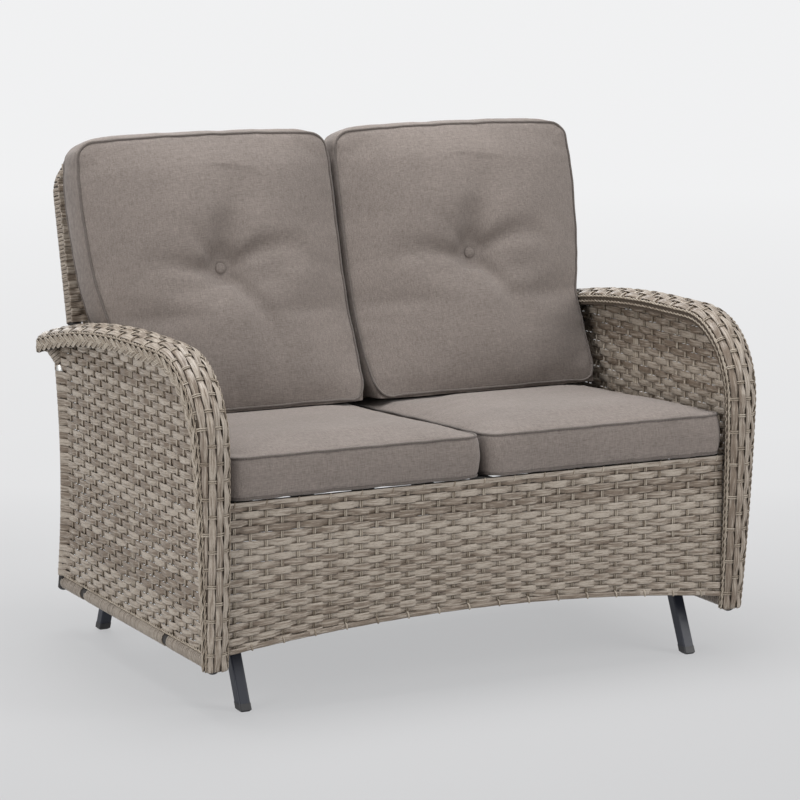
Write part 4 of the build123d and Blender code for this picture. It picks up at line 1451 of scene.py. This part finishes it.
class Cushion:
    """A boxed cushion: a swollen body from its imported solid, held at its seams."""

    slope = math.radians(3.0)
    deck_origin = np.array([0.0, -0.390, 0.3847])
    deck_up = np.array([0.0, math.sin(slope), math.cos(slope)])
    spacing = 0.004
    voxel = 0.0062
    seam_hold = 0.006
    frames = 20
    easing = 14
    pull = 0.0014
    cord = 0.0050
    cord_lift = 0.0012

    def __init__(self, body: Body, seams: Sequence[np.ndarray]) -> None:
        """Keep the body, and close the seams.

        Args:
            body: The cushion's body, without its side.
            seams: The points of its open seam lines.
        """
        self.body = body
        self.seams = [resample(np.concatenate([seam, seam[:1]]), self.spacing)[0]
                      for seam in seams]

    def level(self, points: np.ndarray) -> np.ndarray:
        """Height of points above the deck."""
        return (points - self.deck_origin) @ self.deck_up

    def start_mesh(self) -> bpy.types.Mesh:
        """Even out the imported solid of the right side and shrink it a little.

        Returns:
            The new mesh.
        """
        name = f"{self.body.value}_start"
        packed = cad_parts[self.body.at(Side.RIGHT)].data
        carrier = linked(name, closed(opened(packed, merge=True), name))
        even = carrier.modifiers.new("even", "REMESH")
        even.mode = "VOXEL"
        even.voxel_size = self.voxel
        graph = bpy.context.evaluated_depsgraph_get()
        made = bpy.data.meshes.new_from_object(carrier.evaluated_get(graph))
        bpy.data.objects.remove(carrier)
        work = opened(made)
        for _ in range(3):
            bmesh.ops.smooth_vert(work, verts=work.verts, factor=0.5, use_axis_x=True,
                                  use_axis_y=True, use_axis_z=True)
        return closed(work, name)

    def seam_tree(self) -> tuple[KDTree, np.ndarray]:
        """Make a search tree of the seams' points.

        Returns:
            The tree, and each point's place along its seam.
        """
        points = np.concatenate(self.seams)
        tree = KDTree(len(points))
        for index, point in enumerate(points):
            tree.insert(point, index)
        tree.balance()
        return tree, np.concatenate([self.spacing * np.arange(len(seam)) for seam in self.seams])

    def held(self, points: np.ndarray, near: np.ndarray) -> np.ndarray:
        """Which corners stay where they are while the cushion swells."""
        return near < self.seam_hold

    def eased(self, mesh: bpy.types.Mesh, move: np.ndarray, held: np.ndarray) -> np.ndarray:
        """Even out how the corners move, so that no small wrinkles stay.

        Args:
            mesh: The cushion's mesh.
            move: The moves of its corners.
            held: Which corners stay in place.

        Returns:
            The evened moves.
        """
        ends = np.empty(len(mesh.edges) * 2, np.int32)
        mesh.edges.foreach_get("vertices", ends)
        one, other = ends[::2], ends[1::2]
        both = np.concatenate([one, other])
        count = np.maximum(np.bincount(both, minlength=len(move)), 1)[:, None]
        for _ in range(self.easing):
            near = np.concatenate([move[other], move[one]])
            total = [np.bincount(both, near[:, axis], len(move)) for axis in range(3)]
            move = (move + np.stack(total, axis=1) / count) / 2
            move[held] = 0.0
        return move

    def swell(self, piece: bpy.types.Object, held: np.ndarray) -> None:
        """Blow the cushion up as cloth, with its seams held.

        Args:
            piece: The evened body.
            held: Which of its corners stay in place.
        """
        group = piece.vertex_groups.new(name="held")
        group.add([int(i) for i in np.flatnonzero(held)], 1.0, "REPLACE")
        cloth_step = piece.modifiers.new("swell", "CLOTH")
        for key, value in CLOTH.items():
            setattr(cloth_step.settings, key, value)
        cloth_step.settings.effector_weights.gravity = 0.0
        cloth_step.collision_settings.use_collision = False
        cloth_step.collision_settings.use_self_collision = False
        cloth_step.point_cache.frame_start = 1
        cloth_step.point_cache.frame_end = self.frames
        scene = bpy.context.scene
        for step in range(1, self.frames + 1):
            scene.frame_set(step)
        graph = bpy.context.evaluated_depsgraph_get()
        before, after = corners_of(piece.data), corners_of(piece.evaluated_get(graph).data)
        piece.modifiers.remove(cloth_step)
        piece.vertex_groups.clear()
        scene.frame_set(1)
        facing = corners_of(piece.data, "normal") @ self.panel_side
        caps = np.where(facing > 0.4, self.cap, self.border_cap)[:, None]
        move = after - before
        size = np.linalg.norm(move, axis=1, keepdims=True)
        move *= np.minimum(1.0, caps / np.maximum(size, 1e-9))
        move = self.eased(piece.data, move, held)
        piece.data.vertices.foreach_set("co", (before + move).ravel())
        piece.data.update()

    def shape(self, points: np.ndarray, normals: np.ndarray, near: np.ndarray,
              along: np.ndarray, side: Side) -> np.ndarray:
        """Pull the cloth at its seams.

        Args:
            points: The swollen body's corners.
            normals: Their outward directions.
            near: Their distance from the nearest seam.
            along: Their place along that seam.
            side: The side whose own folds are made.

        Returns:
            The shaped corners.
        """
        pull = self.pull * smooth_noise(along / 0.013, 5 + len(side.word)) * np.exp(-near / 0.022)
        pull *= np.clip(near / 0.008, 0, 1)
        dip = 0.0016 * np.exp(-(near / 0.006) ** 2)
        return points + normals * (pull - dip)[:, None]

    def bodies(self) -> dict[Side, bpy.types.Mesh]:
        """Finish the body as the right side has it, once with each side's folds.

        Returns:
            The mesh with each side's folds.
        """
        piece = linked(f"{self.body.value}_work", self.start_mesh())
        mesh = piece.data
        tree, places = self.seam_tree()
        points = corners_of(mesh)
        found = [tree.find(point) for point in points]
        near = np.array([hit[2] for hit in found])
        along = places[[hit[1] for hit in found]]
        self.swell(piece, self.held(points, near))
        points, normals = corners_of(mesh), corners_of(mesh, "normal")
        made = {}
        for side in Side:
            shaped = self.shape(points, normals, near, along, side)
            made[side] = mesh.copy()
            made[side].vertices.foreach_set("co", shaped.ravel())
            smoothed(made[side])
        bpy.data.objects.remove(piece)
        return made

    def piping(self, mesh: bpy.types.Mesh, side: Side) -> bpy.types.Object:
        """Sew the round cord in along the seams.

        Args:
            mesh: The finished body, as the right side has it.
            side: The cushion's side.

        Returns:
            The cords of one cushion.
        """
        work = opened(mesh)
        tree = BVHTree.FromBMesh(work)
        box = StrandBox(f"{self.body.value}_piping_{side.word}")
        mirror = np.array([side.value, 1.0, 1.0])
        for seam in self.seams:
            hits = [tree.find_nearest(point) for point in seam]
            spots, normals = np.array([hit[0] for hit in hits]), np.array([hit[1] for hit in hits])
            for step in range(16):
                ring = (np.roll(spots[:-1], 1, axis=0) + np.roll(spots[:-1], -1, axis=0)) / 2
                spots[:-1] = (spots[:-1] + ring) / 2
                if step == 11:
                    spots[:-1] = [tree.find_nearest(spot)[0] for spot in spots[:-1]]
                spots[-1] = spots[0]
                turn = (np.roll(normals[:-1], 2, axis=0) + np.roll(normals[:-1], -2, axis=0))
                normals[:-1] = unit(normals[:-1] * 2 + turn)
                normals[-1] = normals[0]
            outward = unit(normals)
            line = spots + outward * self.cord_lift
            box.lay(line * mirror, outward * mirror, self.cord, self.cord, 1.0)
        work.free()
        return box.piece()

    def build(self) -> None:
        """Make the right cushion and its mirror image, each with its piping."""
        for side, right in self.bodies().items():
            work = opened(right)
            if side is Side.LEFT:
                flip = Matrix.Scale(-1.0, 4, Vector((1.0, 0.0, 0.0)))
                bmesh.ops.transform(work, matrix=flip, verts=work.verts)
                bmesh.ops.reverse_faces(work, faces=work.faces)
            body, name = self.body.at(side), f"{self.body.value}_padding_{side.word}"
            piece = linked(name, closed(work, name))
            fine = piece.modifiers.new("fine", "SUBSURF")
            fine.levels = fine.render_levels = 1
            settle(piece, body, SEAT_CLOTH, [body])
            settle(self.piping(right, side), body, PIPING_CLOTH)


class SeatCushion(Cushion):
    """A seat cushion: flat below, crowned above, with two level seams."""

    cap = 0.012
    border_cap = 0.005
    panel_side = UPRIGHT
    seam_places = ((0.003, 0.0022), (0.0785, 0.0030))
    width_span = (0.0015, 0.5045)
    length = (0.224 + 0.390) / math.cos(Cushion.slope)
    corner = 0.032
    draw = 0.004
    clear_span = (0.0012, 0.5028)
    back_level = 0.0885
    back_ease = 0.06

    def __init__(self) -> None:
        """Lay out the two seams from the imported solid's sizes."""
        super().__init__(Body.SEAT_CUSHION, [self.seam(*place) for place in self.seam_places])

    def seam(self, height: float, inset: float) -> np.ndarray:
        """Lay out a level seam with round corners and drawn-in sides.

        Args:
            height: Its height above the deck.
            inset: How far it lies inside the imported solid's sides.

        Returns:
            The points of the closed seam.
        """
        corner = self.corner
        low_x, high_x = self.width_span[0] + inset, self.width_span[1] - inset
        low_y, high_y = inset, self.length - inset
        spots = []
        for x, y, start in ((high_x - corner, low_y + corner, -math.pi / 2),
                            (high_x - corner, high_y - corner, 0.0),
                            (low_x + corner, high_y - corner, math.pi / 2),
                            (low_x + corner, low_y + corner, math.pi)):
            for turn in np.linspace(start, start + math.pi / 2, 9):
                spots.append((x + corner * math.cos(turn), y + corner * math.sin(turn), 0.0))
        ring, _ = resample(np.array([*spots, spots[0]]), self.spacing)
        ring = ring[:-1, :2]
        middle = np.array([(low_x + high_x) / 2, (low_y + high_y) / 2])
        half, off = np.array([high_x, high_y]) - middle, ring - middle
        ease = 1 - np.square(off / (half - corner)).clip(0, 1)
        ring = ring - np.where(np.abs(off) > half - 0.002,
                               np.sign(off) * self.draw * ease[:, ::-1], 0)
        along = np.array([0.0, math.cos(self.slope), -math.sin(self.slope)])
        return (self.deck_origin + np.outer(ring[:, 0], ACROSS) + np.outer(ring[:, 1], along)
                + self.deck_up * height)

    def held(self, points: np.ndarray, near: np.ndarray) -> np.ndarray:
        """Seams and the flat underside stay in place."""
        return super().held(points, near) | (self.level(points) < 0.004)

    def shape(self, points: np.ndarray, normals: np.ndarray, near: np.ndarray,
              along: np.ndarray, side: Side) -> np.ndarray:
        """Keep the cushion on the deck and clear of its neighbours, as Cushion.shape says.

        Args:
            points: The swollen body's corners.
            normals: Their outward directions.
            near: Their distance from the nearest seam.
            along: Their place along that seam.
            side: The side whose own folds are made.

        Returns:
            The shaped corners.
        """
        points = super().shape(points, normals, near, along, side)
        points[:, 0] = np.clip(points[:, 0], *self.clear_span)
        low = np.minimum(self.level(points) - 0.0002, 0.0)
        points = points - np.outer(low, self.deck_up)
        under_back = np.clip(points[:, 1] / self.back_ease, 0, 1)
        over = np.maximum(self.level(points) - self.back_level, 0) * under_back
        return points - np.outer(over * 0.8, self.deck_up)


class BackCushion(Cushion):
    """A back cushion: a deep front panel pulled in at its button, and two seams."""

    cap = 0.024
    border_cap = 0.006
    panel_side = BACK_AHEAD
    origin = np.array([0.0, 0.2520, 0.4453])
    length = 0.503
    corner = 0.034
    rear_reach = 0.030
    button = np.array([0.266, 0.243])
    spot = 0.016
    rest_level = 0.0955
    seam_level = 0.1020
    rows = ((0.0, 0.10, 0.86, 0.0), (0.13, 0.0, 0.52, 0.0), (0.3, 0.0, 0.18, 0.0),
            (0.48, 0.0, 0.06, 0.7), (0.7, 0.0, 0.02, 1.0), (0.87, 0.0, 0.0, 1.0))
    creases = ((80.0, 0.034, 0.095, 0.020), (16.0, 0.022, 0.130, 0.011),
               (298.0, 0.026, 0.095, 0.013), (181.0, 0.018, 0.100, 0.012),
               (138.0, 0.011, 0.045, 0.010), (243.0, 0.007, 0.050, 0.010))
    dimple = (0.006, 0.050)
    clear_span = (0.0014, 0.5312)
    arm_level = 0.150
    arm_x = 0.5038

    def __init__(self) -> None:
        """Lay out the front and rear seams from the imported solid's sizes."""
        super().__init__(Body.BACK_CUSHION, [self.seam(True), self.seam(False)])

    def seam(self, front: bool) -> np.ndarray:
        """Lay out the closed seam round one panel.

        Args:
            front: Whether it is the front panel.

        Returns:
            The seam's points.
        """
        right, left = [], []
        for height, inset, flare, spread in self.rows:
            reach = self.rear_reach + (0.080 + 0.062 * flare if front else 0.0)
            right.append((0.501 + 0.026 * spread - 0.040 * inset, reach, self.length * height))
            left.append((0.005 + 0.040 * inset, reach, self.length * height))
        (high, reach, _), (low, _, _), corner = right[-1], left[-1], self.corner
        top = self.length * (0.988 if front else 0.975)
        over = [(x + corner * math.cos(turn), reach, top - corner + corner * math.sin(turn))
                for x, start in ((high - corner, 0.0), (low + corner, math.pi / 2))
                for turn in np.linspace(start, start + math.pi / 2, 8)]
        (high, reach, _), (low, _, _), base = right[0], left[0], 0.006
        if front:
            reach, base = self.front_foot((low + high) / 2, reach)
        foot = [(low + 0.006, reach, base + 0.010), (low + 0.022, reach, base),
                (high - 0.022, reach, base), (high - 0.006, reach, base + 0.010)]
        spots = [*right, *over, *reversed(left), *foot]
        return np.array([self.origin + ACROSS * x + BACK_AHEAD * reach + BACK_UP * height
                         for x, reach, height in spots])

    def front_foot(self, x: float, reach: float) -> tuple[float, float]:
        """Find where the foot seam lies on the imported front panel.

        Args:
            x: Where along the cushion to look.
            reach: A first guess of the reach.

        Returns:
            The reach forward and the height up the recline.
        """
        work = opened(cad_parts[Body.BACK_CUSHION.at(Side.RIGHT)].data)
        tree = BVHTree.FromBMesh(work)
        base = 0.0
        for _ in range(3):
            start = self.origin + BACK_AHEAD * reach
            base = (self.seam_level - float(self.level(start))) / float(BACK_UP @ self.deck_up)
            far = self.origin + BACK_UP * base + BACK_AHEAD * 0.5 + ACROSS * x
            hit = tree.ray_cast(Vector(far), Vector(-BACK_AHEAD))[0]
            reach = float((np.array(hit) - self.origin) @ BACK_AHEAD)
        work.free()
        return reach, base

    def local(self, points: np.ndarray) -> tuple[np.ndarray, np.ndarray, np.ndarray]:
        """X, height up the recline and reach forward of points."""
        offset = points - self.origin
        return points[:, 0], offset @ BACK_UP, offset @ BACK_AHEAD

    def held(self, points: np.ndarray, near: np.ndarray) -> np.ndarray:
        """Find what stays in place: seams, the button's spot, the foot and the rearmost cloth.

        Args:
            points: The body's corners.
            near: Their distance from the nearest seam.

        Returns:
            Which corners stay.
        """
        x, height, reach = self.local(points)
        spot = np.hypot(x - self.button[0], height - self.button[1]) < self.spot
        low = self.level(points) < self.rest_level + 0.003
        return super().held(points, near) | (spot & (reach > 0.06)) | low | (reach < 0.012)

    def shape(self, points: np.ndarray, normals: np.ndarray, near: np.ndarray,
              along: np.ndarray, side: Side) -> np.ndarray:
        """Press the folds round the button and keep clear of the neighbours.

        Args:
            points: The swollen body's corners.
            normals: Their outward directions.
            near: Their distance from the nearest seam.
            along: Their place along that seam.
            side: The side whose own folds are made.

        Returns:
            The shaped corners.
        """
        points = super().shape(points, normals, near, along, side)
        x, height, reach = self.local(points)
        off_x, off_h = (x - self.button[0]) * side.value, height - self.button[1]
        radius = np.hypot(off_x, off_h)
        angle = np.arctan2(off_h, off_x)
        deep, wide = self.dimple
        depth = deep * np.exp(-(radius / wide) ** 2)
        for degrees, deep, length, width in self.creases:
            turn = np.angle(np.exp(1j * (angle - math.radians(degrees))))
            bent = turn + 0.12 * np.sin(radius / 0.045 + degrees)
            apart = radius * np.abs(bent)
            fold = np.exp(-(apart / (width * (0.6 + radius / 0.10))) ** 2)
            fold *= np.exp(-radius / length) * np.clip((radius - 0.006) / 0.010, 0, 1)
            depth += deep * fold * (np.abs(turn) < 1.3)
        facing = np.clip((reach - 0.055) / 0.030, 0, 1)
        floor = float(reach[(radius < self.spot) & (reach > 0.075)].mean())
        slack = np.maximum(reach - floor - 0.10 * np.maximum(radius - 0.012, 0), 1e-5)
        press = slack * (1 - np.exp(-1.25 * depth * facing / slack))
        points = points - np.outer(press, BACK_AHEAD)
        _, height, reach = self.local(points)
        low = np.minimum(self.level(points) - self.rest_level, 0.0)
        points = points - np.outer(low, self.deck_up)
        points[:, 0] = np.clip(points[:, 0], *self.clear_span)
        beside_arm = height < self.arm_level
        points[beside_arm, 0] = np.minimum(points[beside_arm, 0], self.arm_x)
        return points - np.outer(np.minimum(reach - 0.0010, 0.0), BACK_AHEAD)


@dataclass(frozen=True)
class CoveredButton:
    """A cloth-covered button, gathered at its rim, on the floor of a tuft."""

    rings: tuple[tuple[float, float], ...] = (
        (0.60, 0.02), (0.90, 0.04), (0.985, 0.14), (1.0, 0.28), (0.975, 0.44), (0.90, 0.62),
        (0.78, 0.77), (0.62, 0.88), (0.44, 0.95), (0.24, 0.99))
    radius: float = 0.0110
    height: float = 0.0070
    corners: int = 64
    pleats: int = 16
    pleat_share: float = 0.018

    def build(self, side: Side) -> None:
        """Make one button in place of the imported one.

        Args:
            side: The cushion's side.
        """
        spots = corners_of(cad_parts[f"back_button_{side.word}"].data)
        middle = (spots.min(axis=0) + spots.max(axis=0)) / 2
        foot = middle + BACK_AHEAD * ((spots @ BACK_AHEAD).min() - middle @ BACK_AHEAD)
        up = np.cross(BACK_AHEAD, ACROSS)
        turn = 2 * math.pi * np.arange(self.corners) / self.corners
        work = bmesh.new()
        loops = []
        for share, rise in self.rings:
            gather = self.pleat_share * np.cos(self.pleats * turn) * math.exp(-(2.2 * rise) ** 2)
            across = self.radius * share * (1 + gather)
            ring = (foot + np.outer(across * np.cos(turn), ACROSS)
                    + np.outer(across * np.sin(turn), up) + BACK_AHEAD * self.height * rise)
            loops.append([work.verts.new(spot) for spot in ring])
        for low, high in zip(loops, loops[1:]):
            for index in range(self.corners):
                after = (index + 1) % self.corners
                work.faces.new((low[index], low[after], high[after], high[index]))
        for loop, rise in ((loops[0], 0.0), (loops[-1], 1.0)):
            tip = work.verts.new(foot + BACK_AHEAD * self.height * rise)
            for index in range(self.corners):
                work.faces.new((loop[index], loop[(index + 1) % self.corners], tip))
        bmesh.ops.recalc_face_normals(work, faces=work.faces)
        name = f"covered_button_{side.word}"
        settle(linked(name, smoothed(closed(work, name))), Body.BACK_CUSHION.at(side),
               SEAT_CLOTH, [f"back_button_{side.word}"])


@dataclass(frozen=True)
class DeckStraps:
    """The elastic straps under the cushions, slack between the three rails."""

    sag: float = 0.003
    width: float = 0.0438
    thickness: float = 0.0019
    steps: int = 32

    def build(self) -> None:
        """Lay one strap in place of each packed one."""
        work = opened(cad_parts["seat_straps"].data, merge=True)
        spots = np.array([corner.co[:] for corner in work.verts])
        work.free()
        level = (spots - Cushion.deck_origin) @ Cushion.deck_up
        high = spots[level > level.mean()]
        low_end, high_end = high[:, 1].min(), high[:, 1].max()
        front = high[high[:, 1] < low_end + 1e-4]
        rear = high[high[:, 1] > high_end - 1e-4]
        places = np.unique(np.round(front[:, 0], 5))
        middles = (places[::2] + places[1::2]) / 2
        share = np.linspace(0.0, 1.0, self.steps + 1)
        drop = self.thickness / 2 + self.sag * np.sin(2 * math.pi * share) ** 2
        box = StrandBox("elastic_straps", sides=16)
        for middle in middles:
            ends = [np.array([middle, part[:, 1].mean(), part[:, 2].mean()])
                    for part in (front, rear)]
            line = np.outer(1 - share, ends[0]) + np.outer(share, ends[1])
            line -= np.outer(drop, Cushion.deck_up)
            normals = np.broadcast_to(Cushion.deck_up, line.shape)
            box.lay(line, normals, self.width, self.thickness, 0.2)
        settle(box.piece(), Body.SEAT.value, WEBBING, ["seat_straps"])


# Studio


@dataclass(frozen=True)
class Lamp:
    """A soft rectangular lamp aimed at the seat."""

    name: str
    place: tuple[float, float, float]
    size: float
    power: float
    tint: Colour = (1.0, 1.0, 1.0)

    def build(self, aim: Vector) -> None:
        """Hang the lamp.

        Args:
            aim: What it is aimed at.
        """
        data = bpy.data.lights.new(self.name, "AREA")
        data.shape = "SQUARE"
        data.size = self.size
        data.energy = self.power
        data.color = self.tint
        lamp = linked(self.name, data)
        lamp.location = self.place
        lamp.rotation_euler = (aim - Vector(self.place)).to_track_quat("-Z", "Y").to_euler()


@dataclass(frozen=True)
class Studio:
    """Camera, pale floor, lamps and plain surroundings."""

    camera_place: tuple[float, float, float] = (-2.6925, -5.3960, 1.5112)
    azimuth: float = math.radians(-26.6348)
    elevation: float = math.radians(9.8452)
    lens: float = 145.73
    shift: tuple[float, float] = (0.0038, 0.0017)
    lamps: tuple[Lamp, ...] = (
        Lamp("key", (3.0, -3.2, 2.3), 1.9, 90.0, (1.0, 0.99, 0.975)),
        Lamp("fill", (-4.2, -1.6, 1.2), 2.2, 82.0, (1.0, 0.99, 0.975)),
        Lamp("top", (-0.2, 0.3, 3.4), 2.2, 98.0),
        Lamp("rear", (0.9, 4.2, 2.2), 2.2, 45.0),
    )
    floor_colour: Colour = (0.57, 0.572, 0.58)
    glow_near: Colour = (0.615, 0.618, 0.627)
    glow_far: Colour = (0.775, 0.777, 0.785)
    sky: Colour = (0.875, 0.878, 0.885)
    world_colour: Colour = (1.0, 0.995, 0.99)
    world_strength: float = 0.34
    floor_size: float = 30.0
    aim: tuple[float, float, float] = (0.0, 0.0, 0.45)
    round_reach: float = 3.0
    fade: tuple[float, float] = (0.9, 2.4)
    shadow_share: float = 0.29
    far_reach: tuple[float, float] = (0.25, 1.5)
    sky_reach: tuple[float, float] = (1.2, 8.0)

    def set_camera(self) -> None:
        """Place the camera at the photograph's angle."""
        data = bpy.data.cameras.new("camera")
        data.lens = self.lens
        data.shift_x, data.shift_y = self.shift
        data.clip_end = 100.0
        camera = linked("camera", data)
        level = math.cos(self.elevation)
        back = Vector((math.sin(self.azimuth) * level, -math.cos(self.azimuth) * level,
                       math.sin(self.elevation)))
        camera.location = self.camera_place
        camera.rotation_euler = (-back).to_track_quat("-Z", "Y").to_euler()
        bpy.context.scene.camera = camera

    @staticmethod
    def direct_rays(nodes: Nodes) -> Socket:
        """Tell rays that see the surroundings straight, mirrored or through glass.

        Args:
            nodes: The tree that asks.

        Returns:
            One for such rays, and zero for others.
        """
        path = nodes.add("ShaderNodeLightPath").outputs
        seen = nodes.math("MAXIMUM", path["Is Camera Ray"], path["Is Glossy Ray"])
        return nodes.math("MAXIMUM", seen, path["Is Transmission Ray"])

    def lay_floor(self) -> None:
        """Lay a wide floor that pales with distance from the seat."""
        work = bmesh.new()
        bmesh.ops.create_grid(work, x_segments=1, y_segments=1, size=self.floor_size)
        floor = linked("floor", closed(work, "floor"))
        paint = bpy.data.materials.new("floor_paint")
        paint.use_nodes = True
        nodes = Nodes(paint.node_tree)
        shader = paint.node_tree.nodes["Principled BSDF"]
        nodes.feed(shader, "Base Color", self.floor_colour)
        nodes.feed(shader, "Roughness", 0.85)
        place = nodes.add("ShaderNodeTexCoord").outputs["Object"]
        reach = nodes.add("ShaderNodeVectorMath", {0: place}, operation="LENGTH").outputs["Value"]
        ahead = (-math.sin(self.azimuth), math.cos(self.azimuth), 0.0)
        depth = nodes.add("ShaderNodeVectorMath", {0: place, 1: ahead},
                          operation="DOT_PRODUCT").outputs["Value"]
        away = nodes.math("MAXIMUM", depth, nodes.math("SUBTRACT", reach, self.round_reach))
        share = nodes.spread(reach, *self.fade, 1 - self.shadow_share, 1.0)
        tone = nodes.mix(nodes.spread(away, *self.far_reach), self.glow_near, self.glow_far)
        tone = nodes.mix(nodes.spread(away, *self.sky_reach), tone, self.sky)
        glow = nodes.add("ShaderNodeEmission", {"Color": tone})
        seen = nodes.math("MULTIPLY", share, self.direct_rays(nodes))
        mix = nodes.add("ShaderNodeMixShader", {0: seen, 1: shader.outputs[0],
                                                2: glow.outputs[0]})
        nodes.feed(paint.node_tree.nodes["Material Output"], 0, mix.outputs[0])
        floor.data.materials.append(paint)

    def set_world(self) -> None:
        """Light evenly from all round, with a pale view to the camera."""
        world = bpy.data.worlds.new("studio")
        bpy.context.scene.world = world
        world.use_nodes = True
        nodes = Nodes(world.node_tree)
        back = world.node_tree.nodes["Background"]
        nodes.feed(back, "Color", self.world_colour)
        nodes.feed(back, "Strength", self.world_strength)
        seen = nodes.add("ShaderNodeBackground", {"Color": self.sky, "Strength": 1.0})
        mix = nodes.add("ShaderNodeMixShader", {0: self.direct_rays(nodes), 1: back.outputs[0],
                                                2: seen.outputs[0]})
        nodes.feed(world.node_tree.nodes["World Output"], 0, mix.outputs[0])

    def build(self) -> None:
        """Set up everything round the seat."""
        self.set_camera()
        self.lay_floor()
        self.set_world()
        for lamp in self.lamps:
            lamp.build(Vector(self.aim))
        bpy.context.scene.view_settings.view_transform = "Standard"


def dress_nodes() -> None:
    """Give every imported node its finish."""
    for name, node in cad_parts.items():
        finish = FRAME_PAINT
        for start, choice in NODE_FINISHES:
            if name.startswith(start):
                finish = choice
        node.data.materials.clear()
        node.data.materials.append(finish.material())


def main() -> None:
    """Build the looks in order."""
    logging.basicConfig(level=logging.INFO, format="%(name)s %(message)s")
    dress_nodes()
    wraps = StrandBox("foot_rail_coils")
    for side in Side:
        WovenArm(side).build()
        wall = SideWall(side)
        wall.lay_wall()
        wall.lay_wraps(wraps)
    settle(wraps.piece(), Body.SEAT.value, WRAP_STRAND, ["rail_wraps"])
    Apron().build()
    WovenBack().build()
    SeatCushion().build()
    BackCushion().build()
    for side in Side:
        CoveredButton().build(side)
    DeckStraps().build()
    Studio().build()


if __name__ == "__main__":
    main()
